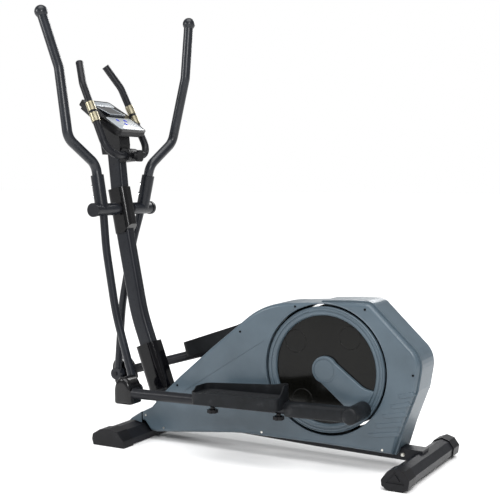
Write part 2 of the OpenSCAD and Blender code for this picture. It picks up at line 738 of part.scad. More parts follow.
// Bore of the swing tube, closed above by the hub and below by the joint boss
function bore_pts(drop) =
    let (n = len(tube_pts) - 1, top = unit(tube_pts[1] - tube_pts[0]),
         foot = unit(tube_pts[n - 1] - tube_pts[n]))
    concat([tube_pts[0] + top * drop], [for (i = [1:n - 1]) tube_pts[i]], [tube_pts[n] + foot * drop]);
// Carries a child from the pivot's height up the axis of the handle socket
module up_socket() {
    d = unit(socket_top - socket_base);
    at_frame(socket_base, [d[2], 0, -d[0]], [0, 1, 0], d) children();
}
module swing_arm(side) {
    color("#33363c") swing_place(side) difference() {
        union() {
            across([0, 0], hub_r, -hub_out, -hub_in);
            bent_tube(tube_pts, swing_bend, swing_tube_r);
            across(joint_local, joint_r, -swing_out, -swing_y + 17);
            up_socket() cylinder(r = socket_r, h = socket_len_up);
        }
        across([0, 0], pivot_shaft_r + fit, -hub_out - 1, -hub_in + 1);
        across(joint_local, joint_pin_r + fit, -swing_out - 1, -swing_y + 18);
        bent_tube(bore_pts(hub_r + 6), swing_bend, swing_tube_r - swing_wall);
        up_socket() translate([0, 0, core_from - 2]) cylinder(r = handle_core_r + gap / 2, h = 80);
    }
}
module swing_arm_left() { swing_arm(LEFT); }
module swing_arm_right() { swing_arm(RIGHT); }
// Upper handle: tube and grip sleeve in one hollow piece, closed by a ball, on a spigot in the socket
module handle(side) {
    d = unit(socket_top - socket_base);
    base = socket_top + d * lap;
    n = len(handle_path) - 1;
    last = handle_path[n];
    path = concat([base], handle_path);
    inner = concat([base + d * 12], [for (i = [0:n - 1]) handle_path[i]],
        [last - unit(last - handle_path[n - 1]) * 30]);
    color("#3b3f46") swing_place(side) difference() {
        union() {
            up_socket() translate([0, 0, core_from])
                cylinder(r = handle_core_r, h = socket_len_up - core_from + 2);
            bent_tube(path, grip_bend, handle_r);
            translate(last) sphere(r = ball_r);
        }
        bent_tube(inner, grip_bend, handle_r - grip_wall);
    }
}
module handle_left() { handle(LEFT); }
module handle_right() { handle(RIGHT); }
module handle_bolts(side) {
    color("silver") swing_place(side) up_socket() for (z = [52, 92]) difference() {
        translate([-socket_r + 1.5, 0, z]) rotate([0, -90, 0]) cylinder(r = 8, h = 7);
        translate([0, 0, z - 10]) cylinder(r = socket_r + hair, h = 20);
    }
}
module handle_bolts_left() { handle_bolts(LEFT); }
module handle_bolts_right() { handle_bolts(RIGHT); }

// ---- Fixed handlebar ----
bar_r = bar_d / 2;
bar_c = [-520, 1090];
function bar_pts_side(s) = [[-520, s * 139, 1090], [-648, s * 124, 1362], [-694, s * 84, 1446]];
bar_pts = concat([for (i = [2:-1:0]) bar_pts_side(LEFT)[i]], bar_pts_side(RIGHT));
module handlebar() {
    color("#26282c") {
        bent_tube(bar_pts, 62, bar_r, bar_r - 2);
        for (s = [LEFT, RIGHT]) {
            d = unit(bar_pts_side(s)[2] - bar_pts_side(s)[1]);
            x = unit(cross(d, [0, 1, 0]));
            at_frame(bar_pts_side(s)[2] - d * 2, x, cross(d, x), d) cylinder(r = bar_r + 0.5, h = 5);
        }
    }
}
plate_len = 36;
plate_from = 138;
module pulse_plates() {
    color("#cfc9b8") for (s = [LEFT, RIGHT]) {
        a = bar_pts_side(s)[0];
        b = bar_pts_side(s)[1];
        d = unit(b - a);
        x = unit(cross(d, [0, 1, 0]));
        for (k = [0, 1]) at_frame(a + d * (plate_from + k * (plate_len + 10)), x, cross(d, x), d)
            linear_extrude(plate_len) ring_2d(bar_r + 2.4, bar_r + fit);
    }
}
module handlebar_clamp() {
    color("#1a1b1e") difference() {
        union() {
            across(bar_c, 25, -32, 32);
            slab(-26, 26) polygon([[-548, 1062], [-520, 1065], [-520, 1115], [-552, 1118]]);
            slab(-10, 10) box_2d([-520, 1074], [-490, 1098]);
        }
        across(bar_c, bar_r + gap, -40, 40);
        mast_sweep(gap, 1);
        slab(-neck_half - gap, neck_half + gap) polygon(inset(neck_pts, -gap));
        translate([-500, 0, 1086]) rotate([0, 90, 0]) cylinder(r = 4 + fit, h = 20);
    }
}
knob_c = [-489.5, 1086];
module clamp_knob() {
    color("#121214") translate([knob_c[0], 0, knob_c[1]]) rotate([0, 90, 0]) {
        translate([0, 0, 0.5]) linear_extrude(8) circle(r = 12);
        translate([0, 0, 8]) linear_extrude(14) difference() {
            circle(r = 23);
            for (a = [0:72:288]) rotate(a) translate([29, 0]) circle(r = 10);
        }
        translate([0, 0, -9]) cylinder(r = 4, h = 10);
    }
}

// ---- Console, drawn in its own plane: x down the slope, y across, z out of the face ----
console_c = [-596, 1238];
module console_place() {
    translate([console_c[0], 0, console_c[1]]) rotate([0, console_tilt, 0]) children();
}
hl = console_len / 2;
hw = console_w / 2;
console_pts = concat(arc([-hl + 16, -hw + 30], 16, 190, 252, 3), arc([0, -hw + 24], 24, 262, 278, 2),
    arc([hl - 20, -hw + 36], 20, 286, 350, 4), arc([hl - 20, hw - 36], 20, 10, 74, 4),
    arc([0, hw - 24], 24, 82, 98, 2), arc([-hl + 16, hw - 30], 16, 108, 170, 3));
screen_x = [-62, 14];
screen_half = 50;
module console_tray() {
    color("#17181a") console_place() difference() {
        union() {
            translate([0, 0, -14]) linear_extrude(14) polygon(console_pts);
            translate([0, 0, -26]) linear_extrude(12) polygon(inset(console_pts, 12));
        }
        translate([0, 0, -11]) linear_extrude(12) polygon(inset(console_pts, 3));
        translate([0, 0, -23]) linear_extrude(24) polygon(inset(console_pts, 15));
        neck_hole();
    }
}
module neck_hole() {
    translate([18, 0, -24]) cube([50, 44, 12], center = true);
}
button_at = [[66, 0], [40, -24], [40, 24]];
button_r = 8;
module console_bezel() {
    color("#9aa0a4") console_place() difference() {
        translate([0, 0, gap]) linear_extrude(8) polygon(inset(console_pts, 0.5));
        translate([0, 0, -1]) linear_extrude(6) polygon(inset(console_pts, 4));
        translate([screen_x[0], -screen_half, -1]) cube([screen_x[1] - screen_x[0], 2 * screen_half, 20]);
        for (p = button_at) translate([p[0], p[1], 0]) cylinder(r = button_r + gap, h = 20);
    }
}
module console_screen() {
    color("#20242c") console_place() difference() {
        translate([screen_x[0] + gap, -screen_half + gap, -6])
            cube([screen_x[1] - screen_x[0] - 2 * gap, 2 * (screen_half - gap), 26]);
        translate([screen_x[0] - 1, -screen_half, 8]) rotate([0, -9, 0]) cube([120, 2 * screen_half, 30]);
    }
}
module button(i) {
    color("#2e3fa8") console_place() translate([button_at[i][0], button_at[i][1], 0]) {
        cylinder(r = button_r, h = 10.5);
        translate([0, 0, -2]) cylinder(r = button_r + 2, h = 3.5);
    }
}
module mode_button() { button(0); }
module up_button() { button(1); }
module down_button() { button(2); }
neck_half = 34;
tray_depth = 26;
neck_pts = [[-626, 1092], [-543, 1092], [-541, 1130], [-546, 1180], [-552, 1212], [-650, 1262], [-652, 1210],
            [-638, 1150]];
module console_neck() {
    color("#1c1d20") difference() {
        union() {
            slab(-neck_half, neck_half) polygon(neck_pts);
            console_place() translate([18, 0, -31]) cube([80, 90, 8], center = true);
        }
        mast_sweep(gap, 30);
        console_place() translate([-200, -60, -tray_depth - lap]) cube([400, 120, 120]);
    }
}

base_frame();
front_stabiliser();
front_cap_left();
front_cap_right();
rear_stabiliser();
rear_cap_left();
rear_cap_right();
mast();
mast_boot();
mast_collar();
pivot_shaft();
shroud_left();
shroud_right();
shroud_rear_cap();
shroud_nose();
panel_screws();
frame_bolts();
console_neck();
console_tray();
console_bezel();
console_screen();
mode_button();
up_button();
down_button();
handlebar();
pulse_plates();
handlebar_clamp();
clamp_knob();
crank_bearings();
crank_axle();
crank_arm_left();
crank_arm_right();
crank_disc_left();
crank_disc_right();
crank_ring_left();
crank_ring_right();
drive_pulley();
drive_belt();
flywheel();
flywheel_axle();
idler_wheel();
brake_magnets();
brake_motor();
power_inlet();
pedal_arm_left();
pedal_arm_right();
foot_tray_left();
foot_tray_right();
tray_knob_left_front();
tray_knob_left_rear();
tray_knob_right_front();
tray_knob_right_rear();
joint_cover_left();
joint_cover_right();
swing_arm_left();
swing_arm_right();
handle_left();
handle_right();
handle_bolts_left();
handle_bolts_right();
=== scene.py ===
"""Visual model of the elliptical trainer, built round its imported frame."""

import json
import logging
import math
from dataclasses import dataclass
from enum import Enum
from typing import Any, Sequence

import bmesh
import bpy
from mathutils import Matrix, Vector

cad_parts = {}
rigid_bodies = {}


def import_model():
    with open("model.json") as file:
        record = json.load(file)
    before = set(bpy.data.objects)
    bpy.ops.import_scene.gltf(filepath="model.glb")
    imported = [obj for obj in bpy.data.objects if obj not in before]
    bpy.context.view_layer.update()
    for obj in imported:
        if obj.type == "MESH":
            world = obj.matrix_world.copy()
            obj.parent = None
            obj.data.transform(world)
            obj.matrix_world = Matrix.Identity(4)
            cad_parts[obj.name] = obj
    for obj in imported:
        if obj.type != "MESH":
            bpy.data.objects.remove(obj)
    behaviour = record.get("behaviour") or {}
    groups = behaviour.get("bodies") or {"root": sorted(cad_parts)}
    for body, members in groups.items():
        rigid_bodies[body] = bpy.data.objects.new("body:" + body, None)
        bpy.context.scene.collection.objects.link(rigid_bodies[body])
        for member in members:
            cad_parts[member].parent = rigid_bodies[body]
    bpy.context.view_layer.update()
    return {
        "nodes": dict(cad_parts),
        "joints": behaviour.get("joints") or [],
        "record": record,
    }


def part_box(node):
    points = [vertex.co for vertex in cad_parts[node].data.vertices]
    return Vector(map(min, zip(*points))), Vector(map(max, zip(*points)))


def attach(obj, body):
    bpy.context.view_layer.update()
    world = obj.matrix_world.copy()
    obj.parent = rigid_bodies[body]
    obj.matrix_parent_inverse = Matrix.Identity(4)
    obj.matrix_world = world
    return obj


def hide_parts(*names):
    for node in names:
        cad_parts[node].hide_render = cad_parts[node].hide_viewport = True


log = logging.getLogger("trainer")

MM = 0.001

Point = Sequence[float]
Outline = Sequence[tuple[float, float]]
Points = list[tuple[float, float]]

# Broad unevenness at which a finish has its base, second and worn colour
CLOUD_STOPS = (0.30, 0.62, 0.86)
# Linear tone that rubbed places lighten towards
WORN_TONE = 0.6
# Fine noise between which the roughness runs from low to high
ROUGH_SPAN = (0.3, 0.7)
# Colour sockets of the mix node, which share their names with its number sockets
MIX_A, MIX_B, MIX_RESULT = 6, 7, 2
# Edges sharper than this are rounded
BEVEL_ANGLE_DEG = 40
# Points nearer than this, in metres, are one
WELD = 1e-6
# Steps round the large rims, which are seen close up
RIM_STEPS = 192


class Side(Enum):
    """The two sides of the machine, by the sign of Y."""

    LEFT = -1
    RIGHT = 1

    @property
    def word(self) -> str:
        """The side as it stands in node names."""
        return self.name.lower()


# --------------------------------------------------------------------------- colour and nodes


def linear(hex_colour: str) -> tuple[float, float, float, float]:
    """Turn an sRGB colour into linear light.

    Args:
        hex_colour: six hex digits, with or without a leading hash.

    Returns:
        Linear red, green and blue, and an alpha of 1.
    """
    digits = hex_colour.lstrip("#")
    parts = [int(digits[i : i + 2], 16) / 255 for i in (0, 2, 4)]
    out = [p / 12.92 if p <= 0.04045 else ((p + 0.055) / 1.055) ** 2.4 for p in parts]
    return (out[0], out[1], out[2], 1.0)


def per_metre(size_mm: float) -> float:
    """Give the texture scale whose pattern repeats about every size_mm."""
    return 1.0 / (size_mm * MM)


def bands(size_mm: float) -> float:
    """Give the wave texture's scale for bands that repeat every size_mm, within 2%."""
    return per_metre(size_mm) / math.tau * 2


def add_node(
    tree: bpy.types.NodeTree,
    kind: str,
    settings: dict[str | int, Any] | None = None,
    links: dict[str | int, Any] | None = None,
) -> bpy.types.Node:
    """Add one shader node with its settings and links.

    Args:
        tree: the node tree it joins.
        kind: the node's Blender type name.
        settings: attributes, or input sockets by name or index, with their values.
        links: input sockets by name or index, with the output sockets that feed them.

    Returns:
        The new node.
    """
    made = tree.nodes.new(kind)
    for name, value in (settings or {}).items():
        if isinstance(name, int) or (name in made.inputs and not hasattr(type(made), name)):
            made.inputs[name].default_value = value
        else:
            setattr(made, name, value)
    for name, source in (links or {}).items():
        tree.links.new(source, made.inputs[name])
    return made


def grey(value: float) -> tuple[float, float, float, float]:
    """Give a grey of that linear value."""
    return (value, value, value, 1.0)


# --------------------------------------------------------------------------- finishes


@dataclass(frozen=True)
class Finish:
    """A surface finish: a base colour that wanders a little, a grain and a sheen.

    Args:
        name: the material's name.
        base: the colour of most of the surface, as sRGB hex.
        second: the colour it wanders towards.
        low: the lowest roughness.
        high: the highest roughness.
        grain_mm: size of the fine relief.
        relief_mm: its depth.
        cloud_mm: size of the broad unevenness.
        wear: how far rubbed places lighten, from 0 to 1.
        metallic: 1 for bare metal, else 0.
        ior: index of refraction.
        coat: weight of a clear layer on top.
        coat_roughness: that layer's roughness.
        specular: strength of the plain reflection.
        stretch: scale of the pattern along X, Y and Z.
    """

    name: str
    base: str
    second: str
    low: float
    high: float
    grain_mm: float
    relief_mm: float
    cloud_mm: float = 60.0
    wear: float = 0.0
    metallic: float = 0.0
    ior: float = 1.5
    coat: float = 0.0
    coat_roughness: float = 0.05
    specular: float = 0.5
    stretch: tuple[float, float, float] = (1.0, 1.0, 1.0)

    def place(self, tree: bpy.types.NodeTree) -> Any:
        """Give the object's own coordinates, stretched for a brushed grain.

        Args:
            tree: the material's node tree.

        Returns:
            The socket of the coordinates.
        """
        where = add_node(tree, "ShaderNodeTexCoord")
        scaled = add_node(
            tree,
            "ShaderNodeMapping",
            {"Scale": self.stretch},
            {"Vector": where.outputs["Object"]},
        )
        return scaled.outputs["Vector"]

    def relief(self, tree: bpy.types.NodeTree, where: Any) -> Any:
        """Give the height of the fine relief, from 0 to 1.

        Args:
            tree: the material's node tree.
            where: the socket of the coordinates.

        Returns:
            The socket of the height.
        """
        grain = add_node(
            tree,
            "ShaderNodeTexNoise",
            {"Scale": per_metre(self.grain_mm), "Detail": 4.0, "Roughness": 0.55},
            {"Vector": where},
        )
        return grain.outputs["Fac"]

    def tint(self, tree: bpy.types.NodeTree, where: Any, colour: Any) -> Any:
        """Give the colour as it is, for a finish with one tone."""
        return colour

    def build(self) -> bpy.types.Material:
        """Make the material, or give the one made before.

        Returns:
            The material that carries this finish.
        """
        known = bpy.data.materials.get(self.name)
        if known:
            return known
        made = bpy.data.materials.new(self.name)
        made.use_nodes = True
        tree = made.node_tree
        tree.nodes.clear()
        where = self.place(tree)
        cloud = add_node(
            tree,
            "ShaderNodeTexNoise",
            {"Scale": per_metre(self.cloud_mm), "Detail": 5.0, "Roughness": 0.6},
            {"Vector": where},
        )
        fine = add_node(
            tree,
            "ShaderNodeTexNoise",
            {"Scale": per_metre(self.grain_mm * 3), "Detail": 3.0},
            {"Vector": where},
        )
        worn = tuple(
            min(1.0, a + self.wear * (WORN_TONE - a)) for a in linear(self.second)[:3]
        ) + (1.0,)
        ramp = add_node(tree, "ShaderNodeValToRGB", links={"Fac": cloud.outputs["Fac"]})
        stops = ramp.color_ramp.elements
        stops.new(0.5)
        for stop, place, colour in zip(
            stops, CLOUD_STOPS, (linear(self.base), linear(self.second), worn)
        ):
            stop.position = place
            stop.color = colour
        rough = add_node(
            tree,
            "ShaderNodeMapRange",
            {
                "From Min": ROUGH_SPAN[0],
                "From Max": ROUGH_SPAN[1],
                "To Min": self.low,
                "To Max": self.high,
            },
            {"Value": fine.outputs["Fac"]},
        )
        bump = add_node(
            tree,
            "ShaderNodeBump",
            {"Strength": 1.0, "Distance": self.relief_mm * MM},
            {"Height": self.relief(tree, where)},
        )
        shader = add_node(
            tree,
            "ShaderNodeBsdfPrincipled",
            {
                "Metallic": self.metallic,
                "IOR": self.ior,
                "Specular IOR Level": self.specular,
                "Coat Weight": self.coat,
                "Coat Roughness": self.coat_roughness,
            },
            {
                "Base Color": self.tint(tree, where, ramp.outputs["Color"]),
                "Roughness": rough.outputs["Result"],
                "Normal": bump.outputs["Normal"],
            },
        )
        add_node(
            tree,
            "ShaderNodeOutputMaterial",
            links={"Surface": shader.outputs["BSDF"]},
        )
        return made


@dataclass(frozen=True)
class Ribbed(Finish):
    """A moulded or rubber surface with parallel ribs across the object's X."""

    rib_mm: float = 5.0

    def relief(self, tree: bpy.types.NodeTree, where: Any) -> Any:
        """Give the ribs' height, from 0 to 1.

        Args:
            tree: the material's node tree.
            where: the socket of the coordinates.

        Returns:
            The socket of the height.
        """
        ribs = add_node(
            tree,
            "ShaderNodeTexWave",
            {"bands_direction": "X", "Scale": bands(self.rib_mm)},
            {"Vector": where},
        )
        return ribs.outputs["Fac"]


@dataclass(frozen=True)
class Turned(Finish):
    """Metal turned on a lathe, with fine rings about the object's Y axis."""

    centre: tuple[float, float, float] = (0.0, 0.0, 0.0)
    # real tool marks are about 0.2 mm apart; drawn coarser, so that they are seen
    ring_mm: float = 2.5

    def relief(self, tree: bpy.types.NodeTree, where: Any) -> Any:
        """Give the rings' height, from 0 to 1.

        Args:
            tree: the material's node tree.
            where: the socket of the coordinates.

        Returns:
            The socket of the height.
        """
        moved = add_node(
            tree,
            "ShaderNodeMapping",
            {"Location": tuple(-c for c in self.centre)},
            {"Vector": where},
        )
        rings = add_node(
            tree,
            "ShaderNodeTexWave",
            {
                "wave_type": "RINGS",
                "rings_direction": "Y",
                "Scale": bands(self.ring_mm),
                "Distortion": 0.4,
            },
            {"Vector": moved.outputs["Vector"]},
        )
        return rings.outputs["Fac"]


@dataclass(frozen=True)
class TwoTone(Finish):
    """A plated finish whose pieces above a height are blackened instead."""

    dark: str = "#141416"
    above_mm: float = 215.0

    def tint(self, tree: bpy.types.NodeTree, where: Any, colour: Any) -> Any:
        """Give the plate's colour below the height and the dark one above it.

        Args:
            tree: the material's node tree.
            where: the socket of the coordinates.
            colour: the socket of the plate's colour.

        Returns:
            The socket of the mixed colour.
        """
        parts = add_node(tree, "ShaderNodeSeparateXYZ", links={"Vector": where})
        high = add_node(
            tree,
            "ShaderNodeMath",
            {"operation": "GREATER_THAN", 1: self.above_mm * MM},
            {0: parts.outputs["Z"]},
        )
        mixed = add_node(
            tree,
            "ShaderNodeMix",
            {"data_type": "RGBA", MIX_B: linear(self.dark)},
            {"Factor": high.outputs["Value"], MIX_A: colour},
        )
        return mixed.outputs[MIX_RESULT]


# Real moulded, painted and plated grain is 0.05 to 0.3 mm. Every finish draws it several
# times coarser, at 0.6 to 4 mm, because a finer one turns to noise at arm's length.

# Powder coat on the welded steel: near-black satin with a faint orange peel
POWDER_BLACK = Finish(
    name="powder_coat_black", base="#141519", second="#1b1c20", low=0.32, high=0.44,
    grain_mm=1.6, relief_mm=0.02, cloud_mm=90, wear=0.02, ior=1.5, specular=0.22,
)
# Powder coat on the mast and swing tubes: dark slate that catches a long soft highlight
POWDER_SLATE = Finish(
    name="powder_coat_slate", base="#12141a", second="#191c22", low=0.26, high=0.36,
    grain_mm=1.6, relief_mm=0.015, cloud_mm=90, wear=0.02, ior=1.5, specular=0.3,
)
# Foam-backed grip sleeve on the upper handles: smooth satin with a blue-grey highlight
GRIP_SLEEVE = Finish(
    name="grip_sleeve_satin", base="#15181d", second="#1e2127", low=0.26, high=0.36,
    grain_mm=1.2, relief_mm=0.01, cloud_mm=70, wear=0.02, ior=1.52, specular=0.38,
)
# Moulded ABS of the casing: slate blue-grey with a fine spark-eroded grain
ABS_SLATE = Finish(
    name="abs_slate_satin", base="#424f58", second="#4b5963", low=0.28, high=0.38,
    grain_mm=0.9, relief_mm=0.03, cloud_mm=140, wear=0.02, ior=1.54, specular=0.42,
)
# Gloss ABS of the mast boot: black with a hard white reflection
ABS_BOOT = Finish(
    name="abs_black_gloss", base="#050508", second="#09090c", low=0.08, high=0.14,
    grain_mm=2.5, relief_mm=0.01, cloud_mm=80, ior=1.54, coat=0.1, specular=0.16,
)
# Gloss ABS of the crank discs: near black, with one broad soft reflection
ABS_DISC = Finish(
    name="abs_disc_gloss", base="#070706", second="#0c0c0a", low=0.16, high=0.26,
    grain_mm=2.0, relief_mm=0.012, cloud_mm=120, ior=1.54, coat=0.04, specular=0.16,
)
# Moulded ABS of caps, collars and knobs: black with a dull grain
ABS_BLACK = Finish(
    name="abs_black_grained", base="#0d0d0f", second="#141417", low=0.34, high=0.5,
    grain_mm=0.8, relief_mm=0.05, cloud_mm=50, wear=0.03, ior=1.54, specular=0.2,
)
# Polished ABS of the collar and the joint covers: black, with soft bright edges
ABS_POLISHED = Finish(
    name="abs_black_polished", base="#08080a", second="#0e0e10", low=0.16, high=0.24,
    grain_mm=1.4, relief_mm=0.015, cloud_mm=60, ior=1.54, specular=0.32,
)
# Polypropylene of the foot trays, charcoal, dull and a little scuffed by shoes
TRAY_PP = Finish(
    name="polypropylene_charcoal", base="#0f1113", second="#17191c", low=0.38, high=0.54,
    grain_mm=0.9, relief_mm=0.06, cloud_mm=40, wear=0.05, ior=1.49, specular=0.18,
)
# Zinc plate on bolts, axles and bearings: bright, faintly yellow-grey
ZINC = Finish(
    name="zinc_plate", base="#b9b8b2", second="#cfcdc5", low=0.24, high=0.38,
    grain_mm=0.8, relief_mm=0.02, cloud_mm=20, metallic=1.0,
)
# Casing screws: bright zinc dots low down, blackened ones above that sink into the panel
SCREW_PLATE = TwoTone(
    name="screw_plate", base="#c9c8c2", second="#dcdad2", low=0.24, high=0.38,
    grain_mm=0.8, relief_mm=0.02, cloud_mm=20, metallic=1.0,
)
# Chrome on the handle bolts: nearly a mirror
CHROME = Finish(
    name="chrome_plate", base="#d6d7d9", second="#e6e6e8", low=0.05, high=0.12,
    grain_mm=3.0, relief_mm=0.005, cloud_mm=30, metallic=1.0,
)
# Stainless contact plates: warm grey metal with streaks brushed round the bar
PULSE_STAINLESS = Finish(
    name="stainless_brushed", base="#989179", second="#aca58f", low=0.3, high=0.42,
    grain_mm=0.7, relief_mm=0.008, cloud_mm=25, metallic=1.0, stretch=(1.0, 0.15, 1.0),
)
# Rolled steel of the brake shoe: dull mid-grey metal, a little patchy
SHOE_STEEL = Finish(
    name="mild_steel_rolled", base="#6e6e72", second="#86868a", low=0.34, high=0.5,
    grain_mm=0.9, relief_mm=0.03, cloud_mm=30, metallic=1.0,
)
# Face of the console: silver-grey paint over ABS, with a very fine sparkle
CONSOLE_SILVER = Finish(
    name="painted_abs_silver", base="#8b9298", second="#a2a8ad", low=0.28, high=0.4,
    grain_mm=0.6, relief_mm=0.012, cloud_mm=60, ior=1.54, coat=0.15,
)
# Tinted hood of the display: dark and glassy
SCREEN_TINT = Finish(
    name="acrylic_tinted", base="#0a0c12", second="#10141d", low=0.05, high=0.10,
    grain_mm=4.0, relief_mm=0.004, cloud_mm=60, ior=1.49, coat=0.5,
)
# Buttons: translucent-looking blue moulding with a soft gloss
BUTTON_BLUE = Finish(
    name="abs_button_blue", base="#1f2fa8", second="#2c40c4", low=0.16, high=0.26,
    grain_mm=1.2, relief_mm=0.02, cloud_mm=10, ior=1.54, coat=0.3,
)
# Rubber of the drive belt: matt black ribs, at 4 mm coarser than the real 2.3 mm
BELT = Ribbed(
    name="belt_rubber", base="#111111", second="#191919", low=0.55, high=0.75,
    grain_mm=0.8, relief_mm=0.5, cloud_mm=30, ior=1.52, rib_mm=4.0,
)


SLOT_FINISH: dict[str, Finish] = {
    "frame_steel": POWDER_BLACK,
    "mast_steel": POWDER_SLATE,
    "handle_grip": GRIP_SLEEVE,
    "shroud_plastic": ABS_SLATE,
    "boot_plastic": ABS_BOOT,
    "black_plastic": ABS_BLACK,
    "disc_plastic": ABS_DISC,
    "tray_plastic": TRAY_PP,
    "zinc_steel": ZINC,
    "chrome_steel": CHROME,
    "pulse_steel": PULSE_STAINLESS,
    "belt_rubber": BELT,
    "console_face": CONSOLE_SILVER,
    "screen_window": SCREEN_TINT,
    "button_blue": BUTTON_BLUE,
    "magnet_steel": SHOE_STEEL,
}


# --------------------------------------------------------------------------- mesh helpers


def finished(
    name: str,
    mesh: bpy.types.Mesh,
    finish: Finish,
    body: str,
    bevel_mm: float = 0.0,
    smooth_deg: float = 35.0,
) -> bpy.types.Object:
    """Turn a mesh into a dressed piece that rides on its body.

    Args:
        name: the piece's name.
        mesh: its mesh, in row coordinates in metres.
        finish: its finish.
        body: the CAD body it moves with.
        bevel_mm: width of the rounding on sharp edges, or 0 for none.
        smooth_deg: edges flatter than this are shaded smooth.

    Returns:
        The new object.
    """
    piece = bpy.data.objects.new(name, mesh)
    bpy.context.scene.collection.objects.link(piece)
    mesh.materials.clear()
    mesh.materials.append(finish.build())
    mesh.shade_smooth()
    mesh.set_sharp_from_angle(angle=math.radians(smooth_deg))
    if bevel_mm:
        round_edges(piece, bevel_mm)
    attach(piece, body)
    log.info("piece %s on %s, %d faces", name, body, len(mesh.polygons))
    return piece


def round_edges(piece: bpy.types.Object, width_mm: float, segments: int = 2) -> None:
    """Round a piece's sharp edges so that they catch the light.

    Args:
        piece: the object.
        width_mm: width of the rounding.
        segments: number of strips across it.
    """
    bevel = piece.modifiers.new("edge", "BEVEL")
    bevel.width = width_mm * MM
    bevel.segments = segments
    bevel.limit_method = "ANGLE"
    bevel.angle_limit = math.radians(BEVEL_ANGLE_DEG)
    bevel.harden_normals = True


def from_bmesh(shape: bmesh.types.BMesh, name: str) -> bpy.types.Mesh:
    """Write a bmesh to a new mesh with outward faces, and free it.

    Args:
        shape: the bmesh.
        name: the mesh's name.

    Returns:
        The new mesh.
    """
    bmesh.ops.remove_doubles(shape, verts=shape.verts, dist=WELD)
    bmesh.ops.recalc_face_normals(shape, faces=shape.faces)
    mesh = bpy.data.meshes.new(name)
    shape.to_mesh(mesh)
    shape.free()
    return mesh


def skin(
    rings: Sequence[Sequence[Vector]], closed: bool = True, caps: bool = True
) -> bmesh.types.BMesh:
    """Join rings of equal length with quads.

    Args:
        rings: rows of points.
        closed: whether each row joins back to its start.
        caps: whether the first and last rows are filled.

    Returns:
        A bmesh of the skin.
    """
    shape = bmesh.new()
    rows = [[shape.verts.new(p) for p in ring] for ring in rings]
    count = len(rows[0])
    last = count if closed else count - 1
    for lower, upper in zip(rows, rows[1:]):
        for i in range(last):
            j = (i + 1) % count
            shape.faces.new((lower[i], lower[j], upper[j], upper[i]))
    if caps:
        shape.faces.new(list(reversed(rows[0])))
        shape.faces.new(rows[-1])
    return shape


def at_y(outline: Outline, y: float) -> list[Vector]:
    """Place a side-view outline at a distance along Y, both in mm, in metres."""
    return [Vector((x * MM, y * MM, z * MM)) for x, z in outline]


def lathe_y(centre: Point, profile: Outline, side: Side, steps: int) -> bmesh.types.BMesh:
    """Turn a profile about a line along Y.

    Args:
        centre: X and Z of the line, in metres.
        profile: a closed loop of radius and distance from the centre plane, in mm.
        side: the side it stands on.
        steps: number of steps round.

    Returns:
        A bmesh of the turned shape.
    """
    rings = []
    for radius, out in profile:
        ring = []
        for i in range(steps):
            a = 2 * math.pi * i / steps
            ring.append(
                Vector(
                    (
                        centre[0] + radius * MM * math.cos(a),
                        side.value * out * MM,
                        centre[1] + radius * MM * math.sin(a),
                    )
                )
            )
        rings.append(ring)
    return skin(rings + [rings[0]], closed=True, caps=False)


# --------------------------------------------------------------------------- carried-over CAD


# Width of the rounding on the nodes' moulded and cut edges, in mm
BEVELS: dict[float, tuple[str, ...]] = {
    3.0: ("front_cap_left", "front_cap_right", "front_stabiliser", "rear_stabiliser"),
    2.5: ("rear_cap_left", "rear_cap_right", "console_neck"),
    2.0: ("shroud_nose",),
    1.5: ("mast_boot", "console_tray", "console_bezel", "handlebar_clamp", "shroud_rear_cap",
          "pivot_shaft"),
    1.2: ("mast_collar", "clamp_knob", "foot_tray_left", "foot_tray_right"),
    1.0: ("console_screen", "base_frame", "mode_button", "up_button", "down_button",
          "swing_arm_left", "swing_arm_right", "crank_arm_left", "crank_arm_right"),
    0.6: ("power_inlet",),
}
BEVEL_OF = {name: width for width, names in BEVELS.items() for name in names}


@dataclass
class CadDress:
    """Dresses every CAD node with its finish and rounds its moulded edges."""

    record: dict[str, Any]
    nodes: dict[str, bpy.types.Object]

    def finish_of(self, node: str, slot: str) -> Finish:
        """Give the finish of a node, turned rings about its own axle for the flywheel.

        Args:
            node: the node's name.
            slot: the record's material slot.

        Returns:
            The finish.
        """
        if node == "panel_screws":
            return SCREW_PLATE
        if node in ("mast_collar", "console_bezel"):
            return ABS_POLISHED
        if slot != "cast_flywheel":
            return SLOT_FINISH[slot]
        low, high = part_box(node)
        middle = tuple((a + b) / 2 for a, b in zip(low, high))
        # Turned cast iron of the flywheel: mid-grey metal with rings that fan the light
        return Turned(
            name="cast_iron_turned", base="#7b7c7e", second="#929396", low=0.28, high=0.42,
            grain_mm=1.0, relief_mm=0.04, cloud_mm=50, metallic=1.0, centre=middle,
        )

    def dress(self) -> None:
        """Give each node its material, and rounded edges to the nodes listed in BEVELS."""
        for part in self.record["subparts"]:
            name, slot = part["node"], part["material_slot"]
            node = self.nodes[name]
            material = self.finish_of(name, slot).build()
            node.data.materials.clear()
            node.data.materials.append(material)
            if name in BEVEL_OF:
                round_edges(node, BEVEL_OF[name])
            log.info("node %s in %s", name, material.name)


# --------------------------------------------------------------------------- outlines


def arc(centre: Point, radius: float, start: float, end: float, steps: int) -> Points:
    """Give points of an arc in the side view.

    Args:
        centre: its centre, in mm.
        radius: its radius, in mm.
        start: the angle it starts at, in degrees.
        end: the angle it ends at, in degrees.
        steps: number of steps between them.

    Returns:
        One point more than there are steps, in mm.
    """
    out = []
    for i in range(steps + 1):
        a = math.radians(start + (end - start) * i / steps)
        out.append((centre[0] + radius * math.cos(a), centre[1] + radius * math.sin(a)))
    return out


